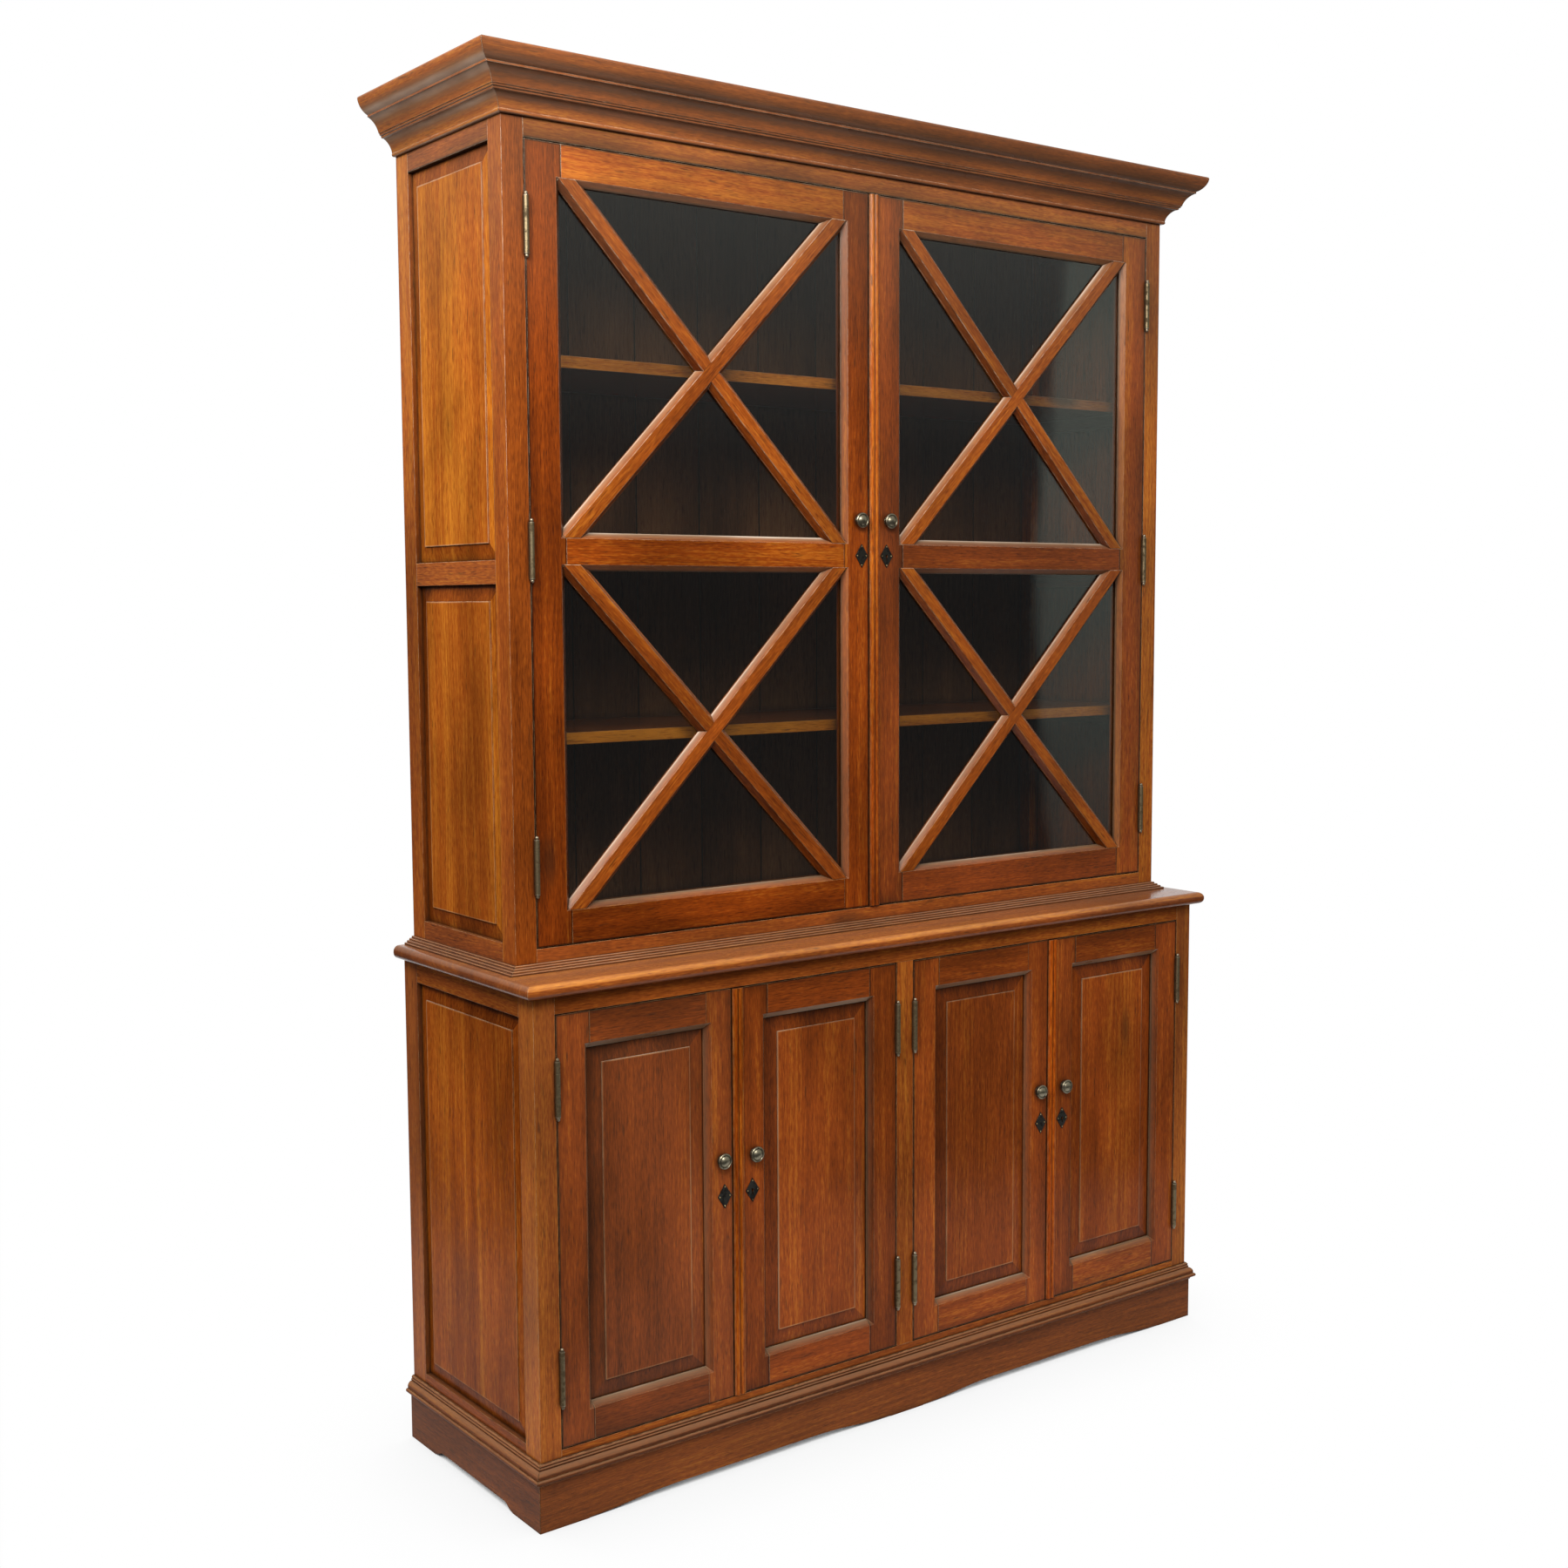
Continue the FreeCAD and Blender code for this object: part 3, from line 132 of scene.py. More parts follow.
def mixed(tree, factor, first, second, blend="MIX"):
    inputs = {0: factor, 6: opaque(first), 7: opaque(second)}
    return add(tree, "Mix", inputs, data_type="RGBA", blend_type=blend).outputs[2]


def span(tree, value, low, high, out_low=0.0, out_high=1.0):
    """The value from low to high, eased and mapped to the other two."""
    inputs = {"Value": value, "From Min": low, "From Max": high, "To Min": out_low, "To Max": out_high}
    return add(tree, "MapRange", inputs, interpolation_type="SMOOTHSTEP").outputs["Result"]


def noise(tree, at, stretch, detail=2.0, roughness=0.5, output="Fac"):
    spread = vector(tree, "MULTIPLY", at, stretch)
    inputs = {"Vector": spread, "Scale": 1.0, "Detail": detail, "Roughness": roughness}
    return add(tree, "TexNoise", inputs).outputs[output]


def crevices(tree, reach, samples, **settings):
    """How open a spot is: 1 where nothing is near, less in corners and gaps."""
    return add(tree, "AmbientOcclusion", {"Distance": reach}, samples=samples, **settings).outputs["AO"]


def ramp(tree, factor, stops):
    node = add(tree, "ValToRGB", {"Fac": factor})
    elements = node.color_ramp.elements
    while len(elements) < len(stops):
        elements.new(0.5)
    for element, (position, colour) in zip(elements, stops):
        element.position = position
        element.color = opaque(colour)
    return node.outputs["Color"]


def surface(tree, shader):
    output = tree.nodes.new("ShaderNodeOutputMaterial")
    tree.links.new(shader, output.inputs["Surface"])


# Wood

# Dark, middle and light shade of each kind, and where they lie on the ramp
DARK = (0.075, 0.012, 0.0015)
CASE_SHADES = (DARK, (0.245, 0.053, 0.005), (0.46, 0.16, 0.014))
DOOR_SHADES = (DARK, (0.24, 0.043, 0.003), (0.46, 0.145, 0.012))
# Inside wood is darker, partly as painted shade inside the case
INSIDE_SHADES = ((0.04, 0.015, 0.006), (0.1, 0.04, 0.017), (0.16, 0.068, 0.03))
SHADE_STOPS = (0.22, 0.5, 0.78)

WORN = (0.58, 0.34, 0.16)
INSIDE_WORN = (0.2, 0.1, 0.055)
WORN_HIGH_UP = (0.72, 0.55, 0.38)
# Tan of fading polish, also used for painted sheen; pale colour of painted highlights
FILM_AND_SHEEN = (0.25, 0.155, 0.09)
PAINTED_HIGHLIGHT = (0.62, 0.5, 0.4)
KNOT = (0.035, 0.012, 0.004)
PORE_TINT = (0.35, 0.25, 0.2)
JOINT = (0.03, 0.012, 0.005)
# Colour of dirt and of painted shade in corners and recesses
CORNER_SHADE_AND_DIRT = (0.02, 0.009, 0.004)

# Textures, in repeats per metre across, through and along the grain
WANDER = (6.0, 6.0, 0.9)
BANDS = (16.0, 16.0, 0.5)
STREAKS = (90.0, 90.0, 1.8)
FIBRES = (650.0, 650.0, 16.0)
DASHES = (420.0, 420.0, 75.0)
PORES = (800.0, 800.0, 45.0)
FLECKS = (150.0, 150.0, 22.0)
BLOTCHES = (6.0, 6.0, 2.4)
CHIPS = (60.0, 60.0, 45.0)
KNOT_CELLS = (5.0, 5.0, 2.0)
RINGS = 34.0
RING_STRETCH = (1.0, 1.0, 0.03)
WANDERING = 0.09

# Distances in metres from a board's rim, or from the rim of a panel's field
MARGIN_REACH = (0.014, 0.056)
MARGIN_RAGGED = 0.05
SEAM_LINE = (0.0035, 0.001)
FIELD_LINE = (0.0028, 0.0008)

# Rounding of arrises, how far dirt and painted shade reach into corners, and how far dark joints reach
ARRIS_RADIUS = 0.0013
DIRT_AND_SHADE_REACH = 0.028
JOINT_REACH = 0.0014

# Heights between which scuffs set in, worn edges get paler, and the polish is painted paler, partly
# bleaching and partly painted sheen
SCUFFED = (0.2, 0.02)
WORN_PALER = (TOP - 1.1, TOP - 0.5)
BLEACH_AND_SHEEN_HEIGHTS = (TOP - 0.55, TOP - 0.1)
DUST = 0.14


def figure(tree, grain, wandering, tone, fibres):
    """Year rings round a wandering pith, broad bands, long streaks, fine fibres and short dashes."""
    rings = add(tree, "TexWave", {
        "Vector": vector(tree, "MULTIPLY", wandering, RING_STRETCH),
        "Scale": RINGS,
        "Distortion": 2.0,
        "Detail": 2.0,
        "Detail Scale": 0.6,
    }, wave_type="RINGS", rings_direction="Z").outputs["Fac"]
    bands = noise(tree, grain, BANDS, 2.0)
    streaks = noise(tree, grain, STREAKS, 3.0, 0.6)
    dashes = noise(tree, grain, DASHES, 2.0)
    total = product(tree, rings, span(tree, bands, 0.35, 0.65, 0.01, 0.07))
    for part, share in ((bands, 0.38), (streaks, 0.24), (fibres, 0.44), (dashes, 0.36), (tone, 0.3)):
        total = maths(tree, "ADD", total, product(tree, part, share))
    return maths(tree, "SUBTRACT", total, 0.52)


def lightness(tree, tone, blotches, nearest, grime_and_shade):
    """Uneven, and darker along the margins and seams of boards: grimy polish and painted shade, less where
    a margin is painted as lit.
    """
    ragged = maths(tree, "ADD", nearest, product(tree, blotches, MARGIN_RAGGED))
    margin = product(tree, span(tree, ragged, *MARGIN_REACH, 1.0, 0.0), grime_and_shade)
    seam = product(tree, span(tree, nearest, *SEAM_LINE), span(tree, grime_and_shade, 0.0, 0.25, 0.0, 0.8))
    uneven = span(tree, blotches, 0.28, 0.72, 0.68, 1.32)
    strength = product(tree, maths(tree, "POWER", tone, 0.5), uneven)
    for darkness in (margin, seam):
        strength = product(tree, strength, maths(tree, "SUBTRACT", 1.0, darkness))
    return strength


def with_flaws(tree, colour, grain, wandering, pores):
    """Knots in some cells of a loose grid, sparse flecks and open pores."""
    cell_place = vector(tree, "MULTIPLY", wandering, KNOT_CELLS)
    cells = add(tree, "TexVoronoi", {"Vector": cell_place, "Scale": 1.0})
    chosen = add(tree, "SeparateColor", {0: cells.outputs["Color"]}).outputs["Red"]
    near_middle = span(tree, cells.outputs["Distance"], 0.14, 0.03)
    knot = product(tree, near_middle, span(tree, chosen, 0.6, 0.62))
    flecks = span(tree, noise(tree, grain, FLECKS, 2.0, 0.6), 0.63, 0.74, 0.0, 0.55)
    flaw = maths(tree, "MAXIMUM", product(tree, knot, 0.8), flecks)
    colour = mixed(tree, flaw, colour, KNOT)
    return mixed(tree, product(tree, pores, 0.6), colour, PORE_TINT, "MULTIPLY")


def dullness_and_sheen(tree, fade, blotches, height, normal):
    """Faded polish with painted sheen and highlights on the mouldings and bevels, paler near the top from
    bleaching and painted sheen, and dust on what faces up.
    """
    up = add(tree, "SeparateXYZ", {0: normal}).outputs["Z"]
    dusty = product(tree, span(tree, up, 0.35, 0.95), DUST)
    # Paler near the top: partly bleaching, partly painted sheen
    bleach_and_sheen = span(tree, height, *BLEACH_AND_SHEEN_HEIGHTS, 0.0, 0.13)
    patchy = span(tree, blotches, 0.3, 0.7, 0.75, 1.15)
    fade_and_sheen_amount = maths(tree, "MULTIPLY", fade, patchy, clamp=True)
    return maths(tree, "ADD", maths(tree, "ADD", fade_and_sheen_amount, bleach_and_sheen), dusty, clamp=True)


def rubbing(tree, grain, blotches, nearest, edge, open_air, wear):
    """Arrises rubbed bare in places, and a faint pale line on the rim of a panel's field, partly wear and
    partly painted highlight.
    """
    chips = span(tree, noise(tree, grain, CHIPS, 3.0, 0.7), 0.38, 0.58, 0.15, 1.0)
    reached = product(tree, span(tree, open_air, 0.4, 0.8), wear)
    rubbed = product(tree, product(tree, edge, chips), reached)
    past_rim = maths(tree, "SUBTRACT", nearest, attribute(tree, "field"))
    # Pale line on a field's rim: partly wear, partly painted highlight
    rim = product(tree, span(tree, past_rim, *FIELD_LINE), span(tree, blotches, 0.35, 0.65, 0.05, 0.42))
    return maths(tree, "MAXIMUM", rubbed, rim)


def soiling_and_corner_shade(tree, fade, blotches, height, open_air):
    """Dirt and painted shade in the corners, and scuffs near the floor."""
    # Corners, creases and gaps darkened: dirt and painted shade
    corners = product(tree, span(tree, open_air, 0.82, 0.28), span(tree, fade, 0.5, 0.8, 0.88, 0.3))
    scuffs = product(tree, span(tree, height, *SCUFFED), span(tree, blotches, 0.42, 0.64, 0.0, 0.42))
    return maths(tree, "MAXIMUM", corners, scuffs)


def wood(name, shades, shine, rough, wear, worn=WORN):
    material, tree = new_tree(name)
    grain = attribute(tree, "grain", "Vector")
    tone = attribute(tree, "tone")
    # Fading of the polish, with painted sheen and highlights
    fade = attribute(tree, "fade")
    from_middle = vector(tree, "ABSOLUTE", attribute(tree, "spot", "Vector"), (0, 0, 0))
    inward = vector(tree, "SUBTRACT", attribute(tree, "half", "Vector"), from_middle)
    inward = add(tree, "SeparateXYZ", {0: inward})
    nearest = maths(tree, "MINIMUM", inward.outputs["X"], inward.outputs["Z"])
    # How dark a board's margins are painted: grimy polish and painted shade
    grime_and_shade = inward.outputs["Y"]
    height = add(tree, "SeparateXYZ", {0: object_place(tree)}).outputs["Z"]
    normal = add(tree, "NewGeometry").outputs["Normal"]

    wander = noise(tree, grain, WANDER, 2.0, output="Color")
    shift = scaled(tree, vector(tree, "SUBTRACT", wander, (0.5, 0.5, 0.5)), WANDERING)
    wandering = vector(tree, "ADD", grain, shift)
    fibres = noise(tree, grain, FIBRES, 3.0, 0.65)
    pores = span(tree, noise(tree, grain, PORES, 1.0), 0.57, 0.7)
    blotches = noise(tree, grain, BLOTCHES, 4.0, 0.6)
    shade = figure(tree, grain, wandering, tone, fibres)
    colour = ramp(tree, shade, list(zip(SHADE_STOPS, shades)))
    colour = scaled(tree, colour, lightness(tree, tone, blotches, nearest, grime_and_shade))
    colour = with_flaws(tree, colour, grain, wandering, pores)

    dull_and_sheen = dullness_and_sheen(tree, fade, blotches, height, normal)
    # Towards a tan of fading polish and painted sheen, and where strongest to a pale painted highlight
    colour = mixed(tree, dull_and_sheen, colour, mixed(tree, span(tree, dull_and_sheen, 0.55, 1.0), FILM_AND_SHEEN, PAINTED_HIGHLIGHT))

    rounded = add(tree, "Bevel", {"Radius": ARRIS_RADIUS}, samples=4).outputs["Normal"]
    edge = span(tree, vector(tree, "DOT_PRODUCT", rounded, normal), 0.997, 0.93)
    open_air = crevices(tree, DIRT_AND_SHADE_REACH, 6)
    rubbed = rubbing(tree, grain, blotches, nearest, edge, open_air, wear)
    bare = mixed(tree, span(tree, height, *WORN_PALER), worn, WORN_HIGH_UP)
    inner = crevices(tree, JOINT_REACH, 4, inside=True, only_local=True)
    joint = maths(tree, "SUBTRACT", span(tree, inner, 0.9, 0.45), edge, clamp=True)
    dirt_and_corner_shade = soiling_and_corner_shade(tree, fade, blotches, height, open_air)
    # Bare wood on rubbed arrises, and the pale field rim line, partly painted highlight
    colour = mixed(tree, rubbed, colour, bare)
    colour = mixed(tree, product(tree, joint, 0.7), colour, JOINT)
    # Dirt and painted shade in corners, and scuffs near the floor
    colour = mixed(tree, dirt_and_corner_shade, colour, CORNER_SHADE_AND_DIRT)

    for part, share in ((blotches, 0.16), (dirt_and_corner_shade, 0.2), (dull_and_sheen, 0.15)):
        rough = maths(tree, "ADD", product(tree, part, share), rough)
    relief = maths(tree, "SUBTRACT", product(tree, fibres, 0.6), product(tree, pores, 0.8))
    bump = add(tree, "Bump", {"Strength": 0.18, "Distance": 0.0006, "Height": relief, "Normal": rounded})
    shader = add(tree, "BsdfPrincipled", {
        "Base Color": colour,
        "Roughness": rough,
        "Normal": bump.outputs["Normal"],
        "Specular IOR Level": shine,
    })
    surface(tree, shader.outputs["BSDF"])
    return material


# Boards: each one of a node is one closed run of faces in its mesh

# Nodes whose board margins are painted darker, as grimy and shaded; less on margins painted as lit
SHADED_AND_GRIMY = ("_frame", "_panel", "_posts", "_rails")
MARGIN_GRIME_AND_SHADE = 0.6
LIT_MARGIN_GRIME_AND_SHADE = 0.3
SHADED_AND_GRIMY_HALF_WIDTHS = (0.02, 0.045)
# Tone of faces inside the case: painted darker, as in shade
INSIDE_TONE = 0.42
BACK_LINE = 0.2
FLAT = 0.9985
FIELD_DEPTH = 0.0005
MARGIN_DEPTHS = (0.002, 0.0035)
BEVEL_FACING = (0.2, 0.95)
BEVEL_DEPTH = 0.0095
# Tone of the sides and fronts of posts: sides painted lighter and fronts darker, as lit from the left
POST_TONES = {"lower_posts": (1.02, 0.9), "upper_posts": (1.08, 0.82)}
MOULDINGS = ("cornice", "waist_moulding", "base_moulding", "counter_top")


def boards_of(mesh):
    spots = [tuple(round(number * 1e5) for number in vertex.co) for vertex in mesh.vertices]
    open_edges = set()
    boards = []
    board = set()
    for polygon in mesh.polygons:
        corners = list(polygon.vertices)
        board.update(corners)
        for first, second in zip(corners, corners[1:] + corners[:1]):
            open_edges ^= {tuple(sorted((spots[first], spots[second])))}
        if not open_edges:
            boards.append(sorted(board))
            board = set()
    if board:
        boards.append(sorted(board))
    return boards


def long_direction(points, upright):
    """The way a board's grain runs: up, along an axis or along the spread of its points."""
    if upright:
        return Vector((0.0, 0.0, 1.0))
    middle = sum(points, Vector()) / len(points)
    spread = Matrix(((0.0, 0.0, 0.0),) * 3)
    for point in points:
        arm = point - middle
        for row in range(3):
            for column in range(3):
                spread[row][column] += arm[row] * arm[column]
    direction = Vector((0.31, 0.23, 0.92))
    for _ in range(60):
        direction = (spread @ direction).normalized()
    for axis in (Vector((1, 0, 0)), Vector((0, 1, 0)), Vector((0, 0, 1))):
        if abs(direction.dot(axis)) > 0.97:
            return axis
    return direction


def directions_of(points, low, high, upright):
    """Across, through and along a board."""
    along = long_direction(points, upright)
    sizes = [(high - low)[axis] + 9.0 * abs(along[axis]) for axis in range(3)]
    thick = Vector([float(size == min(sizes)) for size in sizes])
    thick = (thick - along * thick.dot(along)).normalized()
    return along.cross(thick), thick, along


def inside_face(name, point, normal):
    if name.endswith("_boards"):
        return normal.y > -0.5
    if name.split("_")[0] in ("upper", "lower") and "door" not in name:
        return normal.x * point.x < -0.05 or (normal.y > 0.5 and point.y < BACK_LINE)
    return name == "cleats_and_stops"


def ease(value, low, high):
    share = min(max((value - low) / (high - low), 0.0), 1.0)
    return share * share * (3.0 - 2.0 * share)


def lit_margin(name, normal):
    """Whether a face is the side margin of a panel that shows paler."""
    return "_panel" in name and 0.02 < (-normal.y if "side" in name else normal.x) < 0.3


def on_field(name, depth, normal, point):
    """Whether a face is the raised field of a panel."""
    if "_panel" not in name or depth > FIELD_DEPTH:
        return False
    return (normal.x * math.copysign(1.0, point.x) if "side" in name else -normal.y) >= FLAT


# Painted light and shade of a face, by the way that it faces: its tone, and extra paleness that is painted
# sheen and highlight

def moulding_painted_light(name, normal, sideways):
    # Painted light on mouldings. Cornice: faces turned down painted as a grey sheen on the side, and darker
    # as in shade on the front
    if name == "cornice":
        under = ease(-normal.z, 0.35, 0.8)
        return (1.0, 0.55 * under) if sideways else (1.0 - 0.4 * under, 0.12 * under)
    # Other mouldings: upward arrises painted paler, partly highlight, partly wear; on the counter the front
    # crest painted with a highlight, the top a little paler and the side darker; on the waist and base
    # mouldings the other faces darker as in shade
    arris = ease(normal.z, 0.15, 0.4) * ease(-normal.z, -0.98, -0.9)
    if name == "counter_top":
        upward = ease(normal.z, 0.9, 0.98)
        tone = 0.75 if sideways else 0.85 + 0.5 * arris + 0.15 * upward
        return tone, 0.15 * arris + 0.06 * upward
    return 0.5 + 0.5 * arris, (0.4 if name == "waist_moulding" else 0.3) * arris


def panel_painted_light(name, depth, normal):
    # Painted light on panels: steps facing up or left painted pale as lit, other steps dark as in shadow;
    # the field plain; margins painted as lit are paler, the others darker as in the frame's shade
    facing = max(abs(normal.x), abs(normal.y)) if "side" in name else -normal.y
    if abs(facing) < 0.3:
        return (1.0, 0.6) if normal.z > 0.5 or normal.x < -0.5 else (0.3, 0.0)
    if facing >= FLAT:
        return 1.0, 0.0
    if lit_margin(name, normal):
        return 1.1, 0.0
    return 0.66 + (0.0 if normal.z > 0.02 else 0.3) * ease(depth, *MARGIN_DEPTHS), 0.0


def bevel_painted_light(name, height, depth, normal):
    inward = ease(depth, 0.0, BEVEL_DEPTH)
    # Lattice bevels: those facing up and left painted with a pale highlight growing inwards; the others
    # painted darker as in shade, those facing down and left darkest
    if name.endswith("_lattice"):
        if normal.z > 0:
            return (1.0, 0.05 + 0.75 * inward) if normal.x < 0 else (0.85, 0.1)
        return (0.5, 0.0) if normal.x < 0 else (0.7, 0.1)
    # Frame bevels: those facing up painted with a pale highlight, strongest in the upper half of the glazed
    # doors; those facing down painted with a paler sheen; those facing sideways painted lighter or darker
    # as the light falls
    upper = name.startswith("upper")
    if normal.z > abs(normal.x):
        return 1.0, (0.85 if upper and height > GLAZED_MIDDLE else 0.55) * inward
    if -normal.z > abs(normal.x):
        return (0.9, 0.3) if upper else (1.2, 0.62)
    if normal.x < 0:
        return (1.0, 0.25) if upper else (0.65, 0.2 * inward)
    return (0.55, 0.0) if upper else (0.7, 0.3 * (1.0 - inward))


def painted_light_by_facing(name, height, depth, normal):
    sideways = abs(normal.x) > -normal.y
    if name in MOULDINGS:
        return moulding_painted_light(name, normal, sideways)
    if name in POST_TONES:
        side_tone, front_tone = POST_TONES[name]
        return (side_tone if sideways else front_tone), 0.0
    if "_panel" in name:
        return panel_painted_light(name, depth, normal)
    if name.endswith(("_lattice", "_frame")) and BEVEL_FACING[0] < -normal.y < BEVEL_FACING[1]:
        return bevel_painted_light(name, height, depth, normal)
    return 1.0, 0.0


def lay_grain(node, tones, fade, upright):
    """Give each vertex its place in the grain and on its board, its tone, its fading polish with painted
    sheen, and its field's rim; the tone and sheen carry painted light and shade by the way a face faces,
    and faces inside the case are painted as in shade.
    """
    mesh = node.data
    count = len(mesh.vertices)
    chance = random.Random(node.name)
    grain, spots, halves = ([0.0] * (3 * count) for _ in range(3))
    tone, fade_and_sheen_amount, fields = [1.0] * count, [fade] * count, [-1.0] * count
    for number, board in enumerate(boards_of(mesh)):
        points = [mesh.vertices[index].co for index in board]
        low = Vector([min(point[axis] for point in points) for axis in range(3)])
        high = Vector([max(point[axis] for point in points) for axis in range(3)])
        across, thick, along = directions_of(points, low, high, upright)
        pith_x = chance.uniform(-0.06, 0.06)
        pith_y = chance.choice((-1, 1)) * chance.uniform(0.03, 0.08)
        start = Vector((pith_x, pith_y, chance.uniform(-40.0, 40.0)))
        shade = tones[number % len(tones)] * chance.uniform(0.92, 1.08)
        arms = [point - (low + high) / 2 for point in points]
        width = max(abs(arm.dot(across)) for arm in arms)
        length = max(abs(arm.dot(along)) for arm in arms)
        is_shaded_and_grimy = any(word in node.name for word in SHADED_AND_GRIMY)
        darkest = MARGIN_GRIME_AND_SHADE * ease(width, *SHADED_AND_GRIMY_HALF_WIDTHS) if is_shaded_and_grimy else 0.0
        field_reaches = {}
        for index, point, arm in zip(board, points, arms):
            normal = mesh.vertices[index].normal
            place = Vector((arm.dot(across), arm.dot(thick), arm.dot(along)))
            if "side" in node.name:
                depth = min(point.x - low.x, high.x - point.x)
            else:
                depth = point.y - low.y
            # Margins painted darker, as grimy and shaded, less on a margin painted as lit
            grime_and_shade = darkest * (LIT_MARGIN_GRIME_AND_SHADE if lit_margin(node.name, normal) else 1.0)
            # Painted light and shade by the way the face faces: a tone, and paleness added as painted sheen
            lighter, paler = painted_light_by_facing(node.name, point.z, depth, normal)
            at = slice(3 * index, 3 * index + 3)
            grain[at] = start + place
            spots[at] = (place.x, 0.0, place.z)
            halves[at] = (width, grime_and_shade, length)
            tone[index] = shade * lighter
            fade_and_sheen_amount[index] = fade + paler
            # Faces inside the case painted darker, as in shade, with no fading or sheen
            if inside_face(node.name, point, normal):
                tone[index] = shade * INSIDE_TONE
                fade_and_sheen_amount[index] = 0.0
            if on_field(node.name, depth, normal, point):
                field_reaches[index] = abs(place.x)
        for index in field_reaches:
            fields[index] = width - max(field_reaches.values())
    for name, numbers in (("grain", grain), ("spot", spots), ("half", halves)):
        mesh.attributes.new(name, "FLOAT_VECTOR", "POINT").data.foreach_set("vector", numbers)
    for name, numbers in (("tone", tone), ("fade", fade_and_sheen_amount), ("field", fields)):
        mesh.attributes.new(name, "FLOAT", "POINT").data.foreach_set("value", numbers)


# Metal: tarnished in patches and specks, and in the corners

PATCHES = (90.0, 90.0, 90.0)
SPECKS = (900.0, 900.0, 900.0)
TARNISH_REACH = 0.004
METAL_ARRIS = 0.0007


def metal(name, bright, tarnish, share, rough):
    material, tree = new_tree(name)
    place = object_place(tree)
    patches = noise(tree, place, PATCHES, 4.0, 0.6)
    specks = noise(tree, place, SPECKS, 2.0)
    rounded = add(tree, "Bevel", {"Radius": METAL_ARRIS}, samples=4).outputs["Normal"]
    hidden = span(tree, crevices(tree, TARNISH_REACH, 6), 0.9, 0.35, 0.0, 0.7)
    dull = maths(tree, "ADD", span(tree, patches, 0.66 - share, 0.82 - share), hidden, clamp=True)
    colour = mixed(tree, dull, bright, tarnish)
    colour = mixed(tree, span(tree, specks, 0.58, 0.7, 0.0, 0.4), colour, tarnish)
    bump = add(tree, "Bump", {"Strength": 0.12, "Distance": 0.0004, "Height": specks, "Normal": rounded})
    shader = add(tree, "BsdfPrincipled", {
        "Base Color": colour,
        "Roughness": maths(tree, "ADD", product(tree, dull, 0.3), rough),
        "Normal": bump.outputs["Normal"],
        "Metallic": 1.0,
    })
    surface(tree, shader.outputs["BSDF"])
    return material


# Old glass: slightly wavy, faintly green and smeared

WAVES = (7.0, 7.0, 4.0)
SMEARS = (14.0, 14.0, 9.0)
GLASS_TINTS = ((0.86, 0.90, 0.86), (0.92, 0.94, 0.91))
GLASS_SHADE = (0.62, 0.65, 0.62)


def old_glass(name):
    material, tree = new_tree(name)
    place = object_place(tree)
    waves = noise(tree, place, WAVES, 1.0)
    smears = noise(tree, place, SMEARS, 4.0, 0.65)
    bump = add(tree, "Bump", {"Strength": 0.05, "Distance": 0.004, "Height": waves})
    clear = add(tree, "BsdfPrincipled", {
        "Base Color": mixed(tree, smears, *GLASS_TINTS),
        "Roughness": span(tree, smears, 0.4, 0.8, 0.01, 0.05),
        "Normal": bump.outputs["Normal"],
        "IOR": 1.45,
        "Transmission Weight": 1.0,
    })
    through = add(tree, "BsdfTransparent", {"Color": opaque(GLASS_SHADE)})
    path = add(tree, "LightPath")
    passing = maths(tree, "MAXIMUM", path.outputs["Is Shadow Ray"], path.outputs["Is Diffuse Ray"])
    mix = add(tree, "MixShader", {0: passing, 1: clear.outputs["BSDF"], 2: through.outputs["BSDF"]})
    surface(tree, mix.outputs["Shader"])
    return material


# Finishes: the polish has gone near the floor and at the sides

finishes = {
    "case_wood": wood("case_wood_polished", CASE_SHADES, shine=0.2, rough=0.14, wear=0.75),
    "low_case_wood": wood("low_case_wood_dull", CASE_SHADES, shine=0.04, rough=0.14, wear=0.75),
    "side_wood": wood("side_wood_dull", CASE_SHADES, shine=0.03, rough=0.14, wear=0.75),
    "counter_wood": wood("counter_wood_polished", CASE_SHADES, shine=0.2, rough=0.02, wear=0.8),
    "door_wood": wood("door_wood_polished", DOOR_SHADES, shine=0.17, rough=0.12, wear=0.45),
    "low_door_wood": wood("low_door_wood_dull", DOOR_SHADES, shine=0.08, rough=0.12, wear=0.45),
    "inside_wood": wood(
        "inside_wood_plain", INSIDE_SHADES, shine=0.1, rough=0.5, wear=0.3, worn=INSIDE_WORN),
    "glass": old_glass("window_glass_old"),
    "hinge_metal": metal("hinge_brass_aged", (0.2, 0.155, 0.09), (0.12, 0.088, 0.05), 0.2, 0.48),
    "pin_metal": metal("pin_brass_rubbed", (0.33, 0.28, 0.2), (0.18, 0.145, 0.095), 0.2, 0.42),
    "knob_metal": metal("knob_pewter_worn", (0.23, 0.205, 0.145), (0.06, 0.05, 0.035), 0.16, 0.34),
    "escutcheon_metal": metal(
        "escutcheon_bronze_dark", (0.045, 0.043, 0.038), (0.022, 0.021, 0.019), 0.2, 0.45),
    "lock_iron": metal("lock_iron_dark", (0.12, 0.11, 0.10), (0.03, 0.022, 0.016), 0.2, 0.4),
    "bolt_metal": metal("bolt_brass_worn", (0.55, 0.40, 0.18), (0.12, 0.08, 0.04), 0.14, 0.28),
}

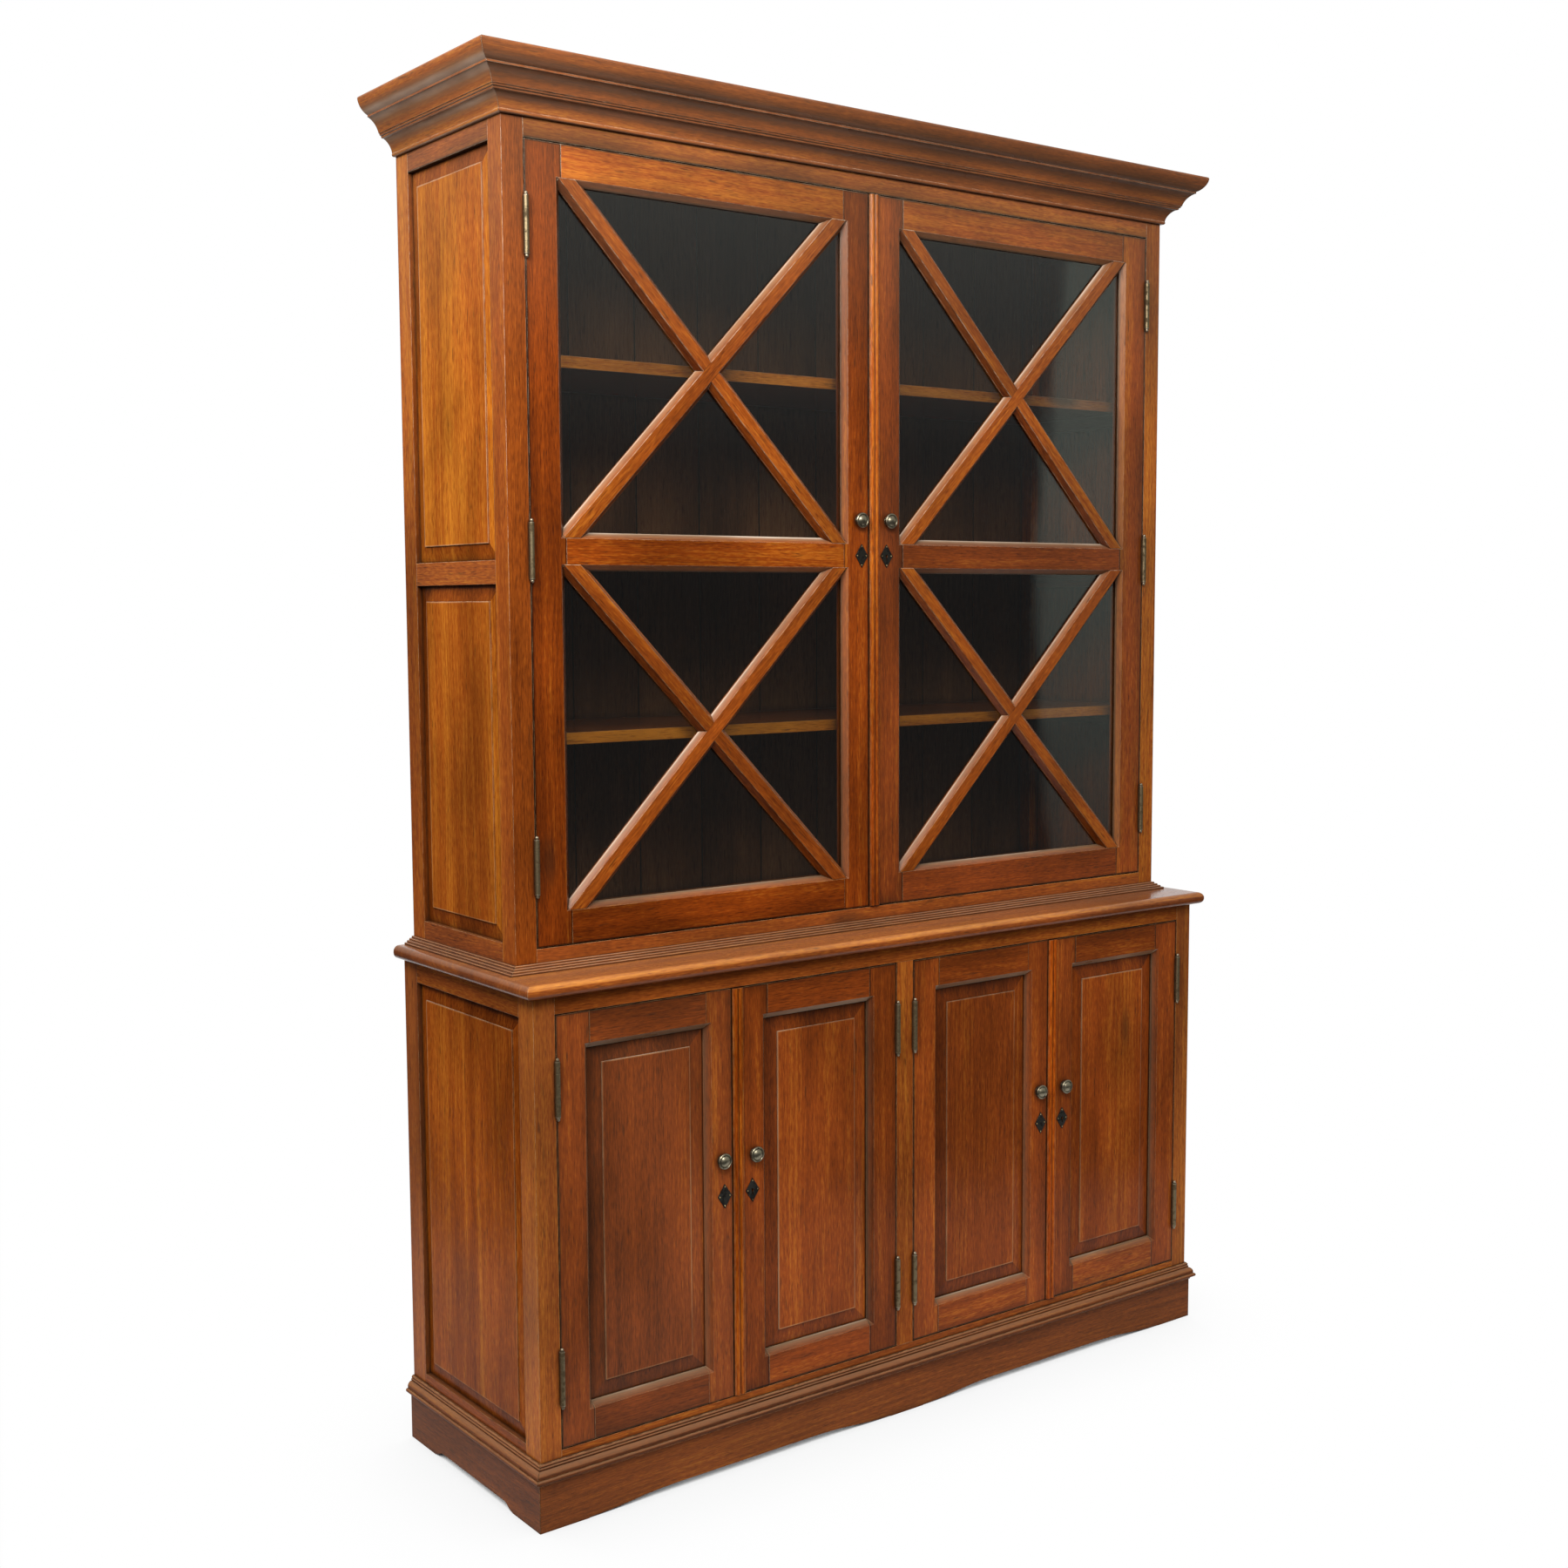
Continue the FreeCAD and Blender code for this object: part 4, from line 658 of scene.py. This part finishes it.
# How light each board of a node is, partly painted light, and how far its polish fades, partly painted
# sheen
TONES = {
    "cornice": ((0.8, 1.08, 1.0), 0.1),
    "waist_moulding": ((1.1,), 0.1),
    "base_moulding": ((0.82,), 0.1),
    "plinth": ((0.62,), 0.12),
    "counter_top": ((1.05,), 0.06),
    "upper_side_panels": ((1.02, 1.35), 0.0),
    "lower_side_panels": ((0.98,), 0.0),
    "upper_posts": ((1.15, 1.05), 0.0),
    "upper_rails": ((1.0, 1.0, 1.1, 1.0, 1.0, 1.1, 1.1, 0.98), 0.06),
    "back_boards": ((1.2, 1.3, 1.1), 0.0),
    "lower_posts": ((1.4, 0.85, 1.15, 0.85), 0.11),
    "lower_rails": ((0.98,), 0.05),
    "upper_boards": ((1.6,), 0.03),
    "upper_left_door_frame": ((0.78, 0.84, 1.2, 0.64, 0.72), 0.0),
    "upper_right_door_frame": ((0.88, 0.84, 1.05, 0.84, 1.02), 0.06),
    "lower_outer_left_door_frame": ((0.74,), 0.09),
    "lower_outer_left_door_panel": ((0.7,), 0.11),
    "lower_inner_left_door_frame": ((0.72,), 0.04),
    "lower_inner_left_door_panel": ((0.74,), 0.05),
    "lower_outer_right_door_panel": ((0.95,), 0.04),
    "lower_inner_left_door_astragal": ((1.1,), 0.0),
    "lower_outer_right_door_astragal": ((1.1,), 0.0),
}
LOWER_TONES = ((0.8,), 0.05)
PLAIN_TONES = ((1.0,), 0.0)


def finish_of(name, slot):
    if name in ("upper_boards", "counter_top"):
        return {"upper_boards": "door_wood", "counter_top": "counter_wood"}[name]
    if name.endswith("_side_panels"):
        return "side_wood"
    if name.endswith("_lattice"):
        return "case_wood"
    low = name.startswith("lower") or name in ("plinth", "base_moulding")
    return "low_" + slot if low and slot in ("case_wood", "door_wood") else slot


for name, node in frame["nodes"].items():
    slot = node.data.materials[0].name
    if "wood" in slot:
        slot = finish_of(name, slot)
        tones, fade = TONES.get(name, LOWER_TONES if "lower" in name else PLAIN_TONES)
        lay_grain(node, tones, fade, "panel" in name)
    node.material_slots[0].material = finishes["pin_metal" if name == "hinge_pins" else slot]


# Pins at the points of the keyhole plates

PIN_RADIUS = 0.0013
PIN_FLATNESS = 0.45
PIN_SPOTS = ((-0.74, 0.0), (0.74, 0.0), (0.0, -0.8), (0.0, 0.8))


def pins(name, plate, body):
    low, high = (Vector(corner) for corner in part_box(plate))
    middle = (low + high) / 2
    reach = (high - low) / 2
    mesh = bpy.data.meshes.new(name)
    shape = bmesh.new()
    for side, rise in PIN_SPOTS:
        spot = Vector((middle.x + side * reach.x, low.y, middle.z + rise * reach.z))
        made = bmesh.ops.create_uvsphere(shape, u_segments=16, v_segments=10, radius=PIN_RADIUS)
        for vertex in made["verts"]:
            vertex.co.y *= PIN_FLATNESS
            vertex.co += spot
    for face in shape.faces:
        face.smooth = True
    shape.to_mesh(mesh)
    shape.free()
    piece = bpy.data.objects.new(name, mesh)
    scene.collection.objects.link(piece)
    mesh.materials.append(finishes["bolt_metal"])
    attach(piece, body)


for name in list(frame["nodes"]):
    if name.endswith("_escutcheon"):
        pins(name + "_pins", name, name.removesuffix("_escutcheon"))


# Camera where the photograph was taken from

CAMERA_PLACE = (-2.2871, -2.8829, 1.5264)
CAMERA_FORWARD = (0.5996, 0.7949, -0.0935)
CAMERA_ROLL = -0.0049
CAMERA_LENS = 43.73


def add_camera(place, forward, roll, lens):
    forward = Vector(forward).normalized()
    level = forward.cross(Vector((0.0, 0.0, 1.0))).normalized()
    upright = level.cross(forward)
    right = level * math.cos(roll) + upright * math.sin(roll)
    up = upright * math.cos(roll) - level * math.sin(roll)
    data = bpy.data.cameras.new("camera")
    data.lens = lens
    data.sensor_width = 36.0
    data.sensor_fit = "HORIZONTAL"
    camera = bpy.data.objects.new("camera", data)
    turn = Matrix((right, up, -forward)).transposed().to_4x4()
    camera.matrix_world = Matrix.Translation(place) @ turn
    scene.collection.objects.link(camera)
    scene.camera = camera


add_camera(CAMERA_PLACE, CAMERA_FORWARD, CAMERA_ROLL, CAMERA_LENS)


# White floor, with the part's contact shadow, and white backdrops

CONTACT_REACH = 0.3
CONTACT = 0.1
# Places in x and y past which the floor takes no contact shadow
CONTACT_ENDS = {"X": (1.3, 2.0), "Y": (0.8, 1.6)}
# Shares of x and y, and the two sums between which the stage fades in: three lines outside the photograph
STAGE_ENDS = ((1.0, -0.263, -1.72, -1.58), (-0.591, 1.0, -1.85, -1.68), (0.759, 1.0, -1.2, -1.04))
FLOOR_NEAR = (-2.4, -2.2)
STAGE_FAR = 9.0
BACKDROP_START = 0.0
SIDE_START = 3.0
FLOOR_PAINT = (0.85, 0.85, 0.85)
BACKDROP_PAINT = (0.6, 0.6, 0.6)


def contact_shadow(tree, place):
    near = crevices(tree, CONTACT_REACH, 8)
    soft = span(tree, near, 0.3, 1.0, 1.0 - CONTACT, 1.0)
    shadow = product(tree, span(tree, near, 0.1, 0.45), soft)
    for axis, ends in CONTACT_ENDS.items():
        shadow = maths(tree, "MAXIMUM", shadow, span(tree, place[axis], *ends))
    return shadow


def within_ends(tree, place):
    inside = 1.0
    for x_share, y_share, low, high in STAGE_ENDS:
        reach = maths(tree, "ADD", product(tree, place["X"], x_share), product(tree, place["Y"], y_share))
        inside = product(tree, span(tree, reach, low, high), inside)
    return inside


def stage_material(name, paint, is_floor=False):
    """White where it is seen, straight or mirrored or through glass, and plain paint to all other light."""
    material, tree = new_tree(name)
    place = add(tree, "SeparateXYZ", {0: object_place(tree)}).outputs
    path = add(tree, "LightPath")
    seen = maths(tree, "MAXIMUM", path.outputs["Is Camera Ray"], path.outputs["Is Glossy Ray"])
    seen = maths(tree, "MAXIMUM", seen, path.outputs["Is Transmission Ray"])
    strength = product(tree, seen, contact_shadow(tree, place)) if is_floor else seen
    light = add(tree, "Emission", {"Color": (1.0, 1.0, 1.0, 1.0), "Strength": strength})
    unseen = maths(tree, "SUBTRACT", 1.0, seen)
    painted = add(tree, "BsdfDiffuse", {"Color": scaled(tree, paint, unseen)})
    total = add(tree, "AddShader", {0: light.outputs["Emission"], 1: painted.outputs["BSDF"]})
    clear = add(tree, "BsdfTransparent")
    inside = within_ends(tree, place)
    ended = add(tree, "MixShader", {0: inside, 1: clear.outputs["BSDF"], 2: total.outputs["Shader"]})
    surface(tree, ended.outputs["Shader"])
    return material


def stage_piece(name, corners, material):
    mesh = bpy.data.meshes.new(name)
    mesh.from_pydata(corners, [], [tuple(range(len(corners)))])
    piece = bpy.data.objects.new(name, mesh)
    mesh.materials.append(material)
    scene.collection.objects.link(piece)


def upright_corners(first, second, height):
    return [(*first, 0.0), (*second, 0.0), (*second, height), (*first, height)]


left, front = FLOOR_NEAR
far_corner = (STAGE_FAR, STAGE_FAR)
floor_corners = [
    (left, front, 0.0), (STAGE_FAR, front, 0.0), (*far_corner, 0.0), (left, STAGE_FAR, 0.0)]
stage_piece("floor", floor_corners, stage_material("floor_pale", FLOOR_PAINT, is_floor=True))
wall_corners = upright_corners((BACKDROP_START, STAGE_FAR), far_corner, STAGE_FAR)
stage_piece("backdrop", wall_corners, stage_material("backdrop_white", BACKDROP_PAINT))
side_corners = upright_corners(far_corner, (STAGE_FAR, SIDE_START), STAGE_FAR)
stage_piece("backdrop_side", side_corners, stage_material("backdrop_side_white", BACKDROP_PAINT))


# Light: two large soft lamps at the upper left in front, and a dim room with a pale wall

def lamp(name, place, target, size, power, colour):
    data = bpy.data.lights.new(name, "AREA")
    data.shape = "DISK"
    data.size = size
    data.energy = power
    data.color = colour
    obj = bpy.data.objects.new(name, data)
    aim = Vector(target) - Vector(place)
    obj.matrix_world = Matrix.Translation(place) @ aim.to_track_quat("-Z", "Y").to_matrix().to_4x4()
    scene.collection.objects.link(obj)


lamp("left_lamp", (-2.4, -1.2, 2.95), (-0.75, 0.0, 1.8), size=1.0, power=68.0, colour=(1.0, 0.97, 0.93))
lamp("front_lamp", (-1.5, -2.4, 3.3), (0.0, 0.0, 1.7), size=1.3, power=80.0, colour=(1.0, 0.98, 0.95))

# Grey of the room by how far up one looks, and the wall by the x, y and z of the direction
ROOM_GREYS = [
    (0.0, (0.1, 0.1, 0.1)), (0.08, (0.16, 0.16, 0.16)), (0.2, (0.5, 0.5, 0.47)), (0.7, (0.8, 0.8, 0.78))]
WALL_COLOUR = (0.7, 0.75, 0.67)
WALL_SPANS = {"X": (0.699, 0.705), "Y": (0.0, -0.3), "Z": (-0.26, 0.14)}


def add_room():
    world = bpy.data.worlds.new("room")
    world.use_nodes = True
    scene.world = world
    tree = world.node_tree
    tree.nodes.clear()
    direction = add(tree, "SeparateXYZ", {0: add(tree, "TexCoord").outputs["Generated"]}).outputs
    wall = 1.0
    for axis, ends in WALL_SPANS.items():
        wall = product(tree, span(tree, direction[axis], *ends), wall)
    colour = mixed(tree, wall, ramp(tree, direction["Z"], ROOM_GREYS), WALL_COLOUR)
    background = add(tree, "Background", {"Color": colour, "Strength": 1.0})
    output = tree.nodes.new("ShaderNodeOutputWorld")
    tree.links.new(background.outputs["Background"], output.inputs["Surface"])


add_room()
